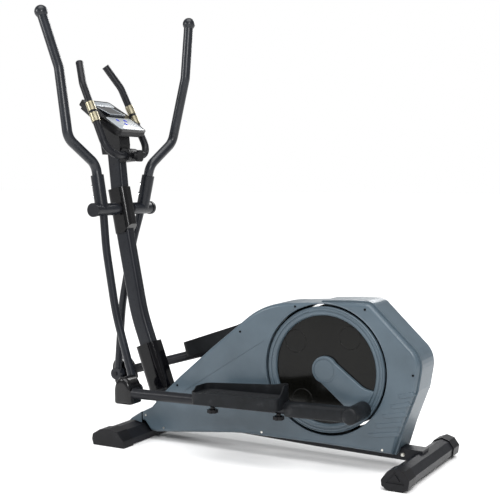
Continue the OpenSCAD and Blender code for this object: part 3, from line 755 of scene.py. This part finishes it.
def inset(points: Outline, depth: float) -> Points:
    """Move a closed outline inward at each point.

    Args:
        points: the outline, in mm.
        depth: how far inward, in mm; negative moves it outward.

    Returns:
        The moved outline, with as many points.
    """
    count = len(points)
    turn = 0.0
    for i in range(count):
        (ax, ay), (bx, by) = points[i], points[(i + 1) % count]
        turn += ax * by - bx * ay
    sign = 1.0 if turn > 0 else -1.0
    out = []
    for i in range(count):
        before = Vector(points[i - 1])
        here = Vector(points[i])
        after = Vector(points[(i + 1) % count])
        a = (here - before).normalized()
        b = (after - here).normalized()
        na = Vector((-a.y, a.x)) * sign
        nb = Vector((-b.y, b.x)) * sign
        middle = (na + nb).normalized()
        moved = here + middle * (depth / max(0.5, middle.dot(na)))
        out.append((moved.x, moved.y))
    return out


def prism(outline: Outline, low: float, high: float) -> bmesh.types.BMesh:
    """Extrude a side-view outline along Y.

    Args:
        outline: points in mm.
        low: one end along Y, in mm.
        high: the other end, in mm.

    Returns:
        A bmesh of the closed prism, in metres.
    """
    return skin([at_y(outline, y) for y in (low, high)])


def carve(mesh: bpy.types.Mesh, cutters: Sequence[bpy.types.Mesh]) -> bpy.types.Mesh:
    """Cut closed shapes out of a closed mesh.

    Args:
        mesh: the mesh to cut.
        cutters: the meshes to take away, which are removed afterwards.

    Returns:
        The cut mesh.
    """
    scene = bpy.context.scene.collection.objects
    body = bpy.data.objects.new("carve_body", mesh)
    scene.link(body)
    tools = []
    for cutter in cutters:
        tool = bpy.data.objects.new("carve_tool", cutter)
        scene.link(tool)
        cut = body.modifiers.new("cut", "BOOLEAN")
        cut.operation = "DIFFERENCE"
        cut.solver = "EXACT"
        cut.object = tool
        tools.append(tool)
    bpy.context.view_layer.update()
    graph = bpy.context.evaluated_depsgraph_get()
    result = bpy.data.meshes.new_from_object(body.evaluated_get(graph))
    for thing in (body, *tools):
        old = thing.data
        bpy.data.objects.remove(thing)
        bpy.data.meshes.remove(old)
    return result


def joined(shapes: Sequence[bmesh.types.BMesh], name: str) -> bpy.types.Mesh:
    """Gather several closed shapes in one mesh, and free them.

    Args:
        shapes: the bmeshes.
        name: the mesh's name.

    Returns:
        The new mesh.
    """
    whole = bmesh.new()
    for shape in shapes:
        bmesh.ops.recalc_face_normals(shape, faces=shape.faces)
        part = bpy.data.meshes.new("part")
        shape.to_mesh(part)
        shape.free()
        whole.from_mesh(part)
        bpy.data.meshes.remove(part)
    mesh = bpy.data.meshes.new(name)
    whole.to_mesh(mesh)
    whole.free()
    return mesh


# --------------------------------------------------------------------------- casing


@dataclass
class Casing:
    """The two moulded side panels, with round openings, a crease and rear louvres."""

    crank: Point
    half: float = 80.0
    wall: float = 3.0
    shoulder: float = 62.0
    rounding: float = 13.0
    opening_r: float = 231.0
    opening_steps: int = 160
    opening_reach: tuple[float, float] = (55.0, 90.0)
    joint_gap: float = 0.15
    rounding_steps: int = 8
    rail: Outline = (
        (-456, 32), (-330, 32), (0, 55), (300, 44), (704, 36),
        (704, 84), (300, 92), (0, 103), (-330, 82), (-456, 82),
    )
    rail_half: float = 33.0
    mast: Outline = ((-400, 66), (-305, 66), (-195, 360), (-300, 420))
    mast_half: float = 42.0
    crease: Outline = ((-232.0, 195.0), (120.0, 419.0))
    crease_half: float = 1.3
    crease_depth: float = 1.2
    crease_clear: float = 2.0
    lip: Outline = (
        (230.6, 60), (230.6, 79.8), (231.4, 80.8), (233.4, 81), (234.6, 80), (234.8, 60),
    )
    louvre_h: float = 16.0
    louvre_proud: float = 1.8
    louvres: tuple[tuple[tuple[float, float], tuple[float, float]], ...] = (
        ((684.0, 283.0), (632.0, 269.0)),
        ((670.0, 248.0), (606.0, 231.0)),
        ((657.0, 212.5), (576.0, 196.0)),
        ((643.5, 177.0), (550.0, 160.0)),
        ((630.5, 142.0), (523.0, 124.0)),
    )

    def outline(self) -> Points:
        """Give the panel's side outline.

        Returns:
            Its points, in mm.
        """
        return [
            (-376, 33), (-404, 66), (-417.7, 68), (-417.7, 102),
            (-375, 124), (-320, 186), (-246, 255), (-104, 377),
            *arc((230, 261), 300, 129, 90, 28),
            (336, 569), (440, 575),
            *arc((505, 536), 40, 90, 48, 10),
            *arc((616, 370), 84, 41, -12, 18),
            (688, 291), (668, 237), (643, 170), (611, 66), (348, 71), (15, 70), (-352, 30),
        ]

    def shell(self, side: Side) -> bpy.types.Mesh:
        """Make the hollow panel before anything is cut from it.

        Args:
            side: the side it covers.

        Returns:
            A closed mesh, hollow towards the other side.
        """
        base = self.outline()
        steps = [(self.joint_gap, 0.0), (self.shoulder, 0.0)]
        for i in range(1, self.rounding_steps + 1):
            a = math.pi / 2 * i / self.rounding_steps
            out = self.shoulder + (self.half - self.shoulder) * math.sin(a)
            steps.append((out, self.rounding * (1 - math.cos(a))))
        rings = [at_y(inset(base, depth), side.value * out) for out, depth in steps]
        for out, depth in reversed(steps):
            inner = min(out, self.half - self.wall)
            rings.append(at_y(inset(base, depth + self.wall), side.value * inner))
        shape = skin(rings, caps=False)
        rows = len(rings)
        count = len(base)
        shape.verts.ensure_lookup_table()
        outer = len(steps) - 1
        # the strip between the outer and inner face rows would close the panel the wrong way
        doomed = [
            f for f in shape.faces
            if {v.index // count for v in f.verts} == {outer, outer + 1}
        ]
        bmesh.ops.delete(shape, geom=doomed, context="FACES_ONLY")
        shape.verts.ensure_lookup_table()
        for row in (outer, outer + 1):
            shape.faces.new([shape.verts[row * count + i] for i in range(count)])
        last = (rows - 1) * count
        for i in range(count):
            j = (i + 1) % count
            shape.faces.new([shape.verts[k] for k in (i, j, last + j, last + i)])
        return from_bmesh(shape, f"panel_{side.word}")

    def cutters(self, side: Side) -> list[bpy.types.Mesh]:
        """Make the shapes of the round opening, the rail, the mast and the crease.

        Args:
            side: the side they are cut from.

        Returns:
            Four closed meshes to take away.
        """
        s = side.value
        c = (self.crank[0] / MM, self.crank[1] / MM)
        circle = arc(
            c, self.opening_r, 0, 360 - 360 / self.opening_steps, self.opening_steps - 1
        )
        hole = prism(circle, *(s * y for y in self.opening_reach))
        rail = prism(self.rail, -self.rail_half, self.rail_half)
        mast = prism(self.mast, -self.mast_half, self.mast_half)
        (x0, z0), (x1, z1) = self.crease
        along = (Vector((x1, z1)) - Vector((x0, z0))).normalized()
        across = Vector((-along.y, along.x)) * self.crease_half
        line = prism(
            [
                (x0 + across.x, z0 + across.y), (x1 + across.x, z1 + across.y),
                (x1 - across.x, z1 - across.y), (x0 - across.x, z0 - across.y),
            ],
            s * (self.half - self.crease_depth),
            s * (self.half + self.crease_clear),
        )
        return [
            from_bmesh(shape, name)
            for name, shape in (("hole", hole), ("rail", rail), ("mast", mast), ("line", line))
        ]

    def louvre_bars(self) -> bpy.types.Mesh:
        """Make the five slats that wrap the rear corner from side to side.

        Returns:
            The mesh of the slats.
        """
        shapes = []
        reach = self.half + self.louvre_proud
        for rear, inner in self.louvres:
            a, b = Vector(inner), Vector(rear)
            along = (b - a).normalized()
            up = Vector((-along.y, along.x)) * self.louvre_h / 2
            tip = along * self.louvre_h * 0.35
            # the inner end is cut at a slant and drawn to a blunt point
            outline = [a - up + tip, b - up, b + up, a + up * 0.9, a + up * 0.3 - tip * 0.4]
            shapes.append(prism([(q.x, q.y) for q in outline], -reach, reach))
        return joined(shapes, "louvres")

    def build(self) -> None:
        """Make both panels and their louvres."""
        for side in Side:
            mesh = carve(self.shell(side), self.cutters(side))
            panel = finished(
                f"panel_{side.word}", mesh, ABS_SLATE, "frame", smooth_deg=28
            )
            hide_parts(f"shroud_{side.word}")
            name = f"opening_lip_{side.word}"
            lip = joined([lathe_y(self.crank, self.lip, side, RIM_STEPS)], name)
            finished(name, lip, ABS_SLATE, "frame")
        finished(
            "louvres", self.louvre_bars(), ABS_SLATE, "frame", bevel_mm=1.4
        )


# --------------------------------------------------------------------------- crank


@dataclass
class CrankCovers:
    """The grooved rims, the moulded covers of the crank arms and the discs' marks."""

    crank: Point
    angle_deg: float = 38.0
    rim: Outline = (
        (190, 69.2), (190, 72), (191, 78), (194, 81.4), (198, 82), (203, 82), (204.5, 79.4),
        (207.5, 79.4), (209, 82), (214, 82), (215.2, 80), (217, 80), (218.2, 81.4), (220.6, 80),
        (222, 76), (222, 69.2),
    )
    hub: Outline = (
        (0.6, 80), (0.6, 84.6), (36.4, 84.8), (37.2, 82.8), (39.2, 82.8), (40, 84.8), (45, 84.8),
        (47, 83.6), (47.8, 81), (47.8, 69.2), (40, 69.2), (40, 80),
    )
    hub_steps: int = 96
    cover_rows: Outline = ((69.4, 0.0), (79.0, 0.3), (81.8, 1.2), (83.4, 2.8), (84.0, 5.0))
    cover_start: float = 2.0
    cover_len: float = 176.0
    cover_steps: int = 24
    cover_half: float = 45.0
    cover_taper: float = 4.0
    cover_flare: float = 17.0
    flare_from: float = 0.72
    cover_end_r: float = 193.0
    tip_steps: int = 14
    ring_mark_r: float = 148.0
    mark_r: float = 40.0
    mark: Outline = ((-1.8, 68.8), (-1.2, 69.7), (0.0, 70.0), (0.8, 69.7), (1.4, 68.8))
    mark_steps: int = 72

    def local(self, side: Side, along: float, across: float) -> tuple[float, float]:
        """Place a point of the crank's own plane in the side view.

        Args:
            side: the side of the crank.
            along: distance from the axle along the arm, in mm.
            across: distance to the arm's side, in mm.

        Returns:
            The point's X and Z, in mm.
        """
        a = math.radians(-self.angle_deg + (0 if side is Side.LEFT else 180))
        x = self.crank[0] / MM + along * math.cos(a) - across * math.sin(a)
        z = self.crank[1] / MM + along * math.sin(a) + across * math.cos(a)
        return (x, z)

    def cover_outline(self, shrink: float) -> Points:
        """Give the arm cover's outline in the crank's plane, flared where it meets the rim.

        Args:
            shrink: how far the flanks are drawn in, in mm.

        Returns:
            Points along and across the arm, in mm.
        """
        upper = []
        for i in range(self.cover_steps + 1):
            t = i / self.cover_steps
            part = max(0.0, (t - self.flare_from) / (1 - self.flare_from))
            half = self.cover_half + self.cover_taper * t + self.cover_flare * part**2
            upper.append((self.cover_start + t * self.cover_len, half - shrink))
        end = upper[-1]
        swing = math.degrees(math.asin(end[1] / self.cover_end_r))
        tip = arc((0, 0), self.cover_end_r, swing, -swing, self.tip_steps)
        return upper + tip + [(x, -y) for x, y in reversed(upper)]

    def cover(self, side: Side) -> bpy.types.Mesh:
        """Make one arm cover, with a soft upper edge.

        Args:
            side: the side of the crank.

        Returns:
            The cover's mesh.
        """
        rings = []
        for out, shrink in self.cover_rows:
            outline = [self.local(side, p, q) for p, q in self.cover_outline(shrink)]
            rings.append(at_y(outline, side.value * out))
        return from_bmesh(skin(rings), f"arm_cover_{side.word}")

    def marks(self, side: Side) -> bpy.types.Mesh:
        """Make the three faint raised circles on the disc.

        Args:
            side: the side of the disc.

        Returns:
            The mesh of the circles.
        """
        profile = [(self.mark_r + grow, out) for grow, out in self.mark]
        shapes = []
        for turn in (90, 180, 270):
            a = math.radians(turn)
            at = self.local(side, self.ring_mark_r * math.cos(a), self.ring_mark_r * math.sin(a))
            middle = (at[0] * MM, at[1] * MM)
            shapes.append(lathe_y(middle, profile, side, self.mark_steps))
        return joined(shapes, f"disc_marks_{side.word}")

    def build(self) -> None:
        """Make rings, hubs, arm covers and marks on both sides."""
        for side in Side:
            word = side.word
            turned = [
                lathe_y(self.crank, self.rim, side, RIM_STEPS),
                lathe_y(self.crank, self.hub, side, self.hub_steps),
            ]
            mesh = joined(turned, f"rim_{word}")
            rim = finished(
                f"rim_{word}", mesh, ABS_SLATE, "crank", smooth_deg=50
            )
            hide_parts(f"crank_ring_{side.word}")
            for name, mesh, finish, slot, smooth in (
                ("arm_cover", self.cover(side), ABS_SLATE, "shroud_plastic", 40),
                ("disc_marks", self.marks(side), ABS_DISC, "disc_plastic", 60),
            ):
                finished(f"{name}_{word}", mesh, finish, "crank", smooth_deg=smooth)


# --------------------------------------------------------------------------- pedals


@dataclass
class Treads:
    """The ribbed anti-slip treads on the floors of the foot trays."""

    joints: dict[str, dict[str, Any]]
    arm_len: float = 921.0
    front: float = -593.0
    rear: float = -249.0
    inner: float = 145.0
    outer: float = 264.0
    top: float = 36.0
    rib_pitch: float = 6.5
    rib_w: float = 3.4
    rib_h: float = 1.5
    rib_sink: float = 0.3
    rib_steps: int = 8
    rib_ends: Outline = ((0.0, 0.2), (2.0, 0.8), (5.0, 1.0))
    margin: float = 13.0
    corner: float = 26.0
    corner_slope: float = 0.5

    def frame(self, side: Side) -> Matrix:
        """Give the pedal arm's frame: x to the rear, z out of the tread, origin at the crank.

        Args:
            side: the side of the pedal arm.

        Returns:
            The matrix from that frame to the row's.
        """
        axis = Vector(self.joints[f"tray_knob_{side.word}_front_turn"]["axis"]).normalized()
        along = Vector((axis.z, 0.0, -axis.x))
        joint = Vector(self.joints[f"pedal_{side.word}_joint"]["pos_m"])
        origin = joint + along * self.arm_len * MM
        origin.y = 0.0
        return Matrix(
            (
                (along.x, 0.0, axis.x, origin.x),
                (0.0, 1.0, 0.0, 0.0),
                (along.z, 0.0, axis.z, origin.z),
                (0.0, 0.0, 0.0, 1.0),
            )
        )

    def build(self) -> None:
        """Make both treads as rows of rounded ribs."""
        for side in Side:
            shapes = []
            y = self.inner + self.margin
            while y < self.outer - self.margin:
                near_edge = min(y - self.inner, self.outer - y)
                trim = self.margin + max(0.0, self.corner - near_edge) * self.corner_slope
                shapes.append(self.rib(side, y, self.front + trim, self.rear - trim))
                y += self.rib_pitch
            mesh = joined(shapes, f"tread_{side.word}")
            mesh.transform(self.frame(side))
            finished(
                f"tread_{side.word}", mesh, TRAY_PP, f"pedal_{side.word}",
                smooth_deg=60,
            )

    def rib(self, side: Side, y: float, start: float, end: float) -> bmesh.types.BMesh:
        """Make one rib, rounded on top and drawn in at its ends.

        Args:
            side: the side of the tray.
            y: the rib's distance from the centre plane, in mm.
            start: where it starts along the tray, in mm.
            end: where it ends, in mm.

        Returns:
            A bmesh of the rib.
        """
        rows = [(start + d, scale) for d, scale in self.rib_ends]
        rows += [(end - d, scale) for d, scale in reversed(self.rib_ends)]
        rings = []
        for x, scale in rows:
            ring = []
            for k in range(self.rib_steps + 1):
                a = math.pi * k / self.rib_steps
                ring.append(
                    Vector(
                        (
                            x * MM,
                            (side.value * y + math.cos(a) * self.rib_w / 2 * scale) * MM,
                            (self.top - self.rib_sink + math.sin(a) * self.rib_h * scale) * MM,
                        )
                    )
                )
            rings.append(ring)
        return skin(rings)


@dataclass
class ArmEnds:
    """The rounded plastic covers over the rear of the pedal arms and their crank sleeves."""

    treads: Treads
    arm_y: float = 192.0
    start: float = -243.0
    half_w: float = 25.5
    half_h: float = 26.5
    lead_in: tuple[float, float] = (3.0, 0.9)
    stations: tuple[float, ...] = (-180.0, -100.0, -40.0, 0.0)
    squareness: float = 0.62
    steps: int = 40
    end_steps: int = 8
    end_scale: float = 0.04
    sleeve: Outline = (
        (0.6, 96), (27, 96), (29, 98), (29, 214), (27, 219), (23, 222), (16, 224), (0.6, 224.5),
    )
    sleeve_steps: int = 64

    def section(self, x: float, scale: float, side: Side) -> list[Vector]:
        """Give one rounded section across the arm.

        Args:
            x: its place along the arm, in mm.
            scale: its size, where 1 is full.
            side: the side of the arm.

        Returns:
            The section's points, in metres.
        """
        ring = []
        for k in range(self.steps):
            a = 2 * math.pi * k / self.steps
            c, n = math.cos(a), math.sin(a)
            # a squared circle, so that it clears the tube's corners
            y = math.copysign(abs(c) ** self.squareness, c) * self.half_w * scale
            z = math.copysign(abs(n) ** self.squareness, n) * self.half_h * scale
            ring.append(Vector((x * MM, (side.value * self.arm_y + y) * MM, z * MM)))
        return ring

    def build(self) -> None:
        """Make both covers."""
        for side in Side:
            lead, lead_scale = self.lead_in
            rings = [self.section(self.start, lead_scale, side)]
            rings += [self.section(x, 1.0, side) for x in (self.start + lead, *self.stations)]
            for k in range(1, self.end_steps + 1):
                a = math.pi / 2 * k / self.end_steps
                scale = max(self.end_scale, math.cos(a))
                rings.append(self.section(self.half_h * math.sin(a), scale, side))
            tube = lathe_y((0.0, 0.0), self.sleeve, side, self.sleeve_steps)
            mesh = joined([skin(rings), tube], f"arm_end_{side.word}")
            mesh.transform(self.treads.frame(side))
            finished(
                f"arm_end_{side.word}", mesh, TRAY_PP, f"pedal_{side.word}",
                smooth_deg=50,
            )


@dataclass
class JointCovers:
    """The domed covers over the lower joints, round on top and flat below."""

    treads: Treads
    joint: Point
    corner: float = 9.0
    corner_steps: int = 5
    waist: float = 0.45
    top_steps: int = 24
    dome: Outline = (
        (26.0, 0.0), (20.0, 0.0), (19.2, 1.3), (17.4, 1.3), (16.6, 0.0), (12.0, 0.5), (7.5, 2.4),
        (4.0, 5.5), (1.6, 10.0), (0.3, 17.0), (0.0, 24.0),
    )

    def outline(self, low: Vector, high: Vector) -> Points:
        """Give the cover's side outline about the joint.

        Args:
            low: the lower corner of its box, in mm from the joint.
            high: the upper corner.

        Returns:
            The outline, in mm.
        """
        left, right, floor, top = low.x, high.x, low.z, high.z
        corner, steps = self.corner, self.corner_steps
        waist = floor + (top - floor) * self.waist
        middle = (left + right) / 2
        out = arc((right - corner, floor + corner), corner, -90, 0, steps)
        for i in range(self.top_steps + 1):
            a = math.pi * i / self.top_steps
            x = middle + (right - middle) * math.cos(a)
            out.append((x, waist + (top - waist) * math.sin(a)))
        out += arc((left + corner, floor + corner), corner, 180, 270, steps)
        return out

    def drawn_in(self, outline: Outline, depth: float) -> Points:
        """Shrink the outline towards its middle.

        Args:
            outline: the outline, in mm.
            depth: how far its sides come in, in mm.

        Returns:
            The smaller outline, in mm.
        """
        xs = [x for x, _ in outline]
        zs = [z for _, z in outline]
        cx, cz = (min(xs) + max(xs)) / 2, (min(zs) + max(zs)) / 2
        fx = 1 - depth / ((max(xs) - min(xs)) / 2)
        fz = 1 - depth / ((max(zs) - min(zs)) / 2)
        return [(cx + (x - cx) * fx, cz + (z - cz) * fz) for x, z in outline]

    def build(self) -> None:
        """Make both covers to the size of the left one's box."""
        low, high = (Vector(c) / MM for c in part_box("joint_cover_left"))
        at = Vector((self.joint[0] / MM, 0.0, self.joint[2] / MM))
        outline = self.outline(low - at, high - at)
        for side in Side:
            rings = [at_y(outline, side.value * -high.y)]
            for back, depth in self.dome:
                rings.append(at_y(self.drawn_in(outline, depth), side.value * (-low.y - back)))
            mesh = from_bmesh(skin(rings), f"joint_dome_{side.word}")
            place = self.treads.frame(side) @ Matrix.Translation((-self.treads.arm_len * MM, 0, 0))
            mesh.transform(place)
            dome = finished(
                f"joint_dome_{side.word}", mesh, ABS_POLISHED, f"pedal_{side.word}",
                smooth_deg=40,
            )
            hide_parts(f"joint_cover_{side.word}")


@dataclass
class ConsoleTrim:
    """The silver plates and rims on the black face of the console."""

    bezel: bpy.types.Object
    slope_deg: float = 33.0
    face: float = 8.3
    thick: float = 0.9
    front_plate: tuple[float, float, float] = (-103.0, -67.0, 82.0)
    rear_plate: tuple[float, float, float] = (19.0, 104.0, 80.0)
    corner: float = 9.0
    corner_steps: int = 6
    edge: tuple[float, float] = (0.4, 0.5)
    hood: tuple[float, float, float, float] = (-61.0, 12.5, 8.6, 20.0)
    hood_half: float = 49.0
    rim_r: float = 1.5
    rim_rows: Outline = ((0.0, 0.4), (0.01, 1.0), (0.99, 1.0), (1.0, 0.4))
    rim_steps: int = 16

    def frame(self) -> Matrix:
        """Give the console's own frame: x down the slope, z out of the face.

        Returns:
            The matrix from that frame to the row's.
        """
        turned = Matrix.Rotation(math.radians(self.slope_deg), 4, "Y")
        down, out = turned.to_3x3().col[0], turned.to_3x3().col[2]
        points = [v.co for v in self.bezel.data.vertices]
        along = [p.dot(down) for p in points]
        top = max(p.dot(out) for p in points)
        centre = down * (min(along) + max(along)) / 2 + out * (top - self.face * MM)
        return Matrix.Translation(centre) @ turned

    def plate(self, size: tuple[float, float, float]) -> bmesh.types.BMesh:
        """Make one thin plate with rounded corners.

        Args:
            size: its front, its rear and half its width, in mm.

        Returns:
            A bmesh of the plate.
        """
        front, rear, half = size
        r = self.corner
        outline = []
        for x, y, turn in (
            (rear - r, half - r, 0), (front + r, half - r, 90),
            (front + r, -half + r, 180), (rear - r, -half + r, 270),
        ):
            outline += arc((x, y), r, turn, turn + 90, self.corner_steps)
        drop, draw = self.edge
        rings = []
        for z, depth in ((0.0, 0.0), (self.thick - drop, 0.0), (self.thick, draw)):
            rings.append(
                [Vector((x * MM, y * MM, (self.face + z) * MM)) for x, y in inset(outline, depth)]
            )
        return skin(rings)

    def rod(self, start: Vector, end: Vector) -> bmesh.types.BMesh:
        """Make one thin rounded rim between two points.

        Args:
            start: one end, in mm.
            end: the other end, in mm.

        Returns:
            A bmesh of the rim.
        """
        along = (end - start).normalized()
        side = along.orthogonal().normalized()
        other = along.cross(side)
        rings = []
        for t, scale in self.rim_rows:
            middle = start.lerp(end, t)
            ring = []
            for k in range(self.rim_steps):
                a = 2 * math.pi * k / self.rim_steps
                out = (side * math.cos(a) + other * math.sin(a)) * self.rim_r * scale
                ring.append((middle + out) * MM)
            rings.append(ring)
        return skin(rings)

    def build(self) -> None:
        """Make the plates and the rims of the hood."""
        place = self.frame()
        plates = [self.plate(self.front_plate), self.plate(self.rear_plate)]
        front, rear, base, top = self.hood
        half = self.hood_half
        rims = [
            self.rod(Vector((rear, -half, top)), Vector((rear, half, top))),
            self.rod(Vector((front, -half, base)), Vector((rear, -half, top))),
            self.rod(Vector((front, half, base)), Vector((rear, half, top))),
        ]
        for name, shapes in (("face_plates", plates), ("hood_rims", rims)):
            mesh = joined(shapes, name)
            mesh.transform(place)
            finished(name, mesh, CONSOLE_SILVER, "frame", smooth_deg=50)


# --------------------------------------------------------------------------- stage


@dataclass
class Studio:
    """Pale floor, soft lights and the camera."""

    camera_at: tuple[float, float, float] = (1.8519, -3.3095, 0.9974)
    yaw_deg: float = 28.999
    pitch_deg: float = 3.944
    lens_mm: float = 74.33
    sensor_mm: float = 36.0
    floor_half: float = 60.0
    floor_drop: float = 0.0005
    # each soft box's name, place in metres, width in metres and power in watts
    soft_boxes: tuple[tuple[str, Point, float, float], ...] = (
        ("key", (2.9, -3.4, 2.6), 1.1, 95.0),
        ("strip", (-2.6, -2.6, 2.2), 0.7, 45.0),
        ("back", (-0.6, 3.4, 2.6), 1.6, 60.0),
    )
    aim: Point = (0.0, 0.0, 0.7)
    overhead: float = 3.0
    overhead_spread_deg: float = 60.0
    overhead_tilt_deg: tuple[float, float] = (14.0, 10.0)
    surround: float = 0.34

    def build_floor(self) -> None:
        """Make the floor, a hair under the feet."""
        shape = bmesh.new()
        bmesh.ops.create_grid(shape, x_segments=8, y_segments=8, size=self.floor_half)
        mesh = from_bmesh(shape, "floor")
        floor = bpy.data.objects.new("floor", mesh)
        floor.location.z = -self.floor_drop
        bpy.context.scene.collection.objects.link(floor)
        # White matt floor paint: no more than a soft shadow shows on it
        paint = Finish(
            name="floor_paint", base="#f6f6f6", second="#fbfbfb", low=0.6, high=0.75,
            grain_mm=3.0, relief_mm=0.01, cloud_mm=900, specular=0.2,
        )
        mesh.materials.append(paint.build())

    def build_lights(self) -> None:
        """Make the soft boxes and the even surround."""
        for name, at, size, power in self.soft_boxes:
            data = bpy.data.lights.new(name, "AREA")
            data.size = size
            data.energy = power
            lamp = bpy.data.objects.new(name, data)
            lamp.location = at
            aim = Vector(self.aim) - Vector(at)
            lamp.rotation_euler = aim.to_track_quat("-Z", "Y").to_euler()
            bpy.context.scene.collection.objects.link(lamp)
        sky = bpy.data.lights.new("overhead", "SUN")
        sky.energy = self.overhead
        sky.angle = math.radians(self.overhead_spread_deg)
        lamp = bpy.data.objects.new("overhead", sky)
        tilt_x, tilt_y = self.overhead_tilt_deg
        lamp.rotation_euler = (math.radians(tilt_x), math.radians(tilt_y), 0.0)
        bpy.context.scene.collection.objects.link(lamp)
        self.build_surround()

    def build_surround(self) -> None:
        """Make the surround: white behind the machine, dimmer where it lights it."""
        world = bpy.data.worlds.new("surround")
        bpy.context.scene.world = world
        world.use_nodes = True
        tree = world.node_tree
        tree.nodes.clear()
        path = add_node(tree, "ShaderNodeLightPath")
        dim, white = (
            add_node(tree, "ShaderNodeBackground", {"Color": grey(1.0), "Strength": strength})
            for strength in (self.surround, 1.0)
        )
        both = add_node(
            tree,
            "ShaderNodeMixShader",
            links={0: path.outputs["Is Camera Ray"], 1: dim.outputs[0], 2: white.outputs[0]},
        )
        add_node(tree, "ShaderNodeOutputWorld", links={"Surface": both.outputs[0]})

    def build_camera(self) -> None:
        """Make the camera at the viewing angle."""
        data = bpy.data.cameras.new("camera")
        data.lens = self.lens_mm
        data.sensor_width = self.sensor_mm
        camera = bpy.data.objects.new("camera", data)
        yaw, pitch = math.radians(self.yaw_deg), math.radians(self.pitch_deg)
        forward = Vector(
            (
                -math.sin(yaw) * math.cos(pitch),
                math.cos(yaw) * math.cos(pitch),
                -math.sin(pitch),
            )
        )
        camera.location = self.camera_at
        camera.rotation_euler = forward.to_track_quat("-Z", "Y").to_euler()
        bpy.context.scene.collection.objects.link(camera)
        bpy.context.scene.camera = camera

    def build(self) -> None:
        """Make the whole stage."""
        self.build_floor()
        self.build_lights()
        self.build_camera()
        bpy.context.scene.view_settings.view_transform = "Standard"


def main() -> None:
    """Build the machine's pieces in order."""
    logging.basicConfig(level=logging.INFO, format="%(name)s: %(message)s")
    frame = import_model()
    Studio().build()
    joints = {joint["name"]: joint for joint in frame["joints"]}
    at = joints["crank_spin"]["pos_m"]
    crank = (at[0], at[2])
    CadDress(frame["record"], frame["nodes"]).dress()
    Casing(crank).build()
    CrankCovers(crank).build()
    treads = Treads(joints)
    treads.build()
    ArmEnds(treads).build()
    JointCovers(treads, joints["pedal_left_joint"]["pos_m"]).build()
    ConsoleTrim(frame["nodes"]["console_bezel"]).build()


if __name__ == "__main__":
    main()
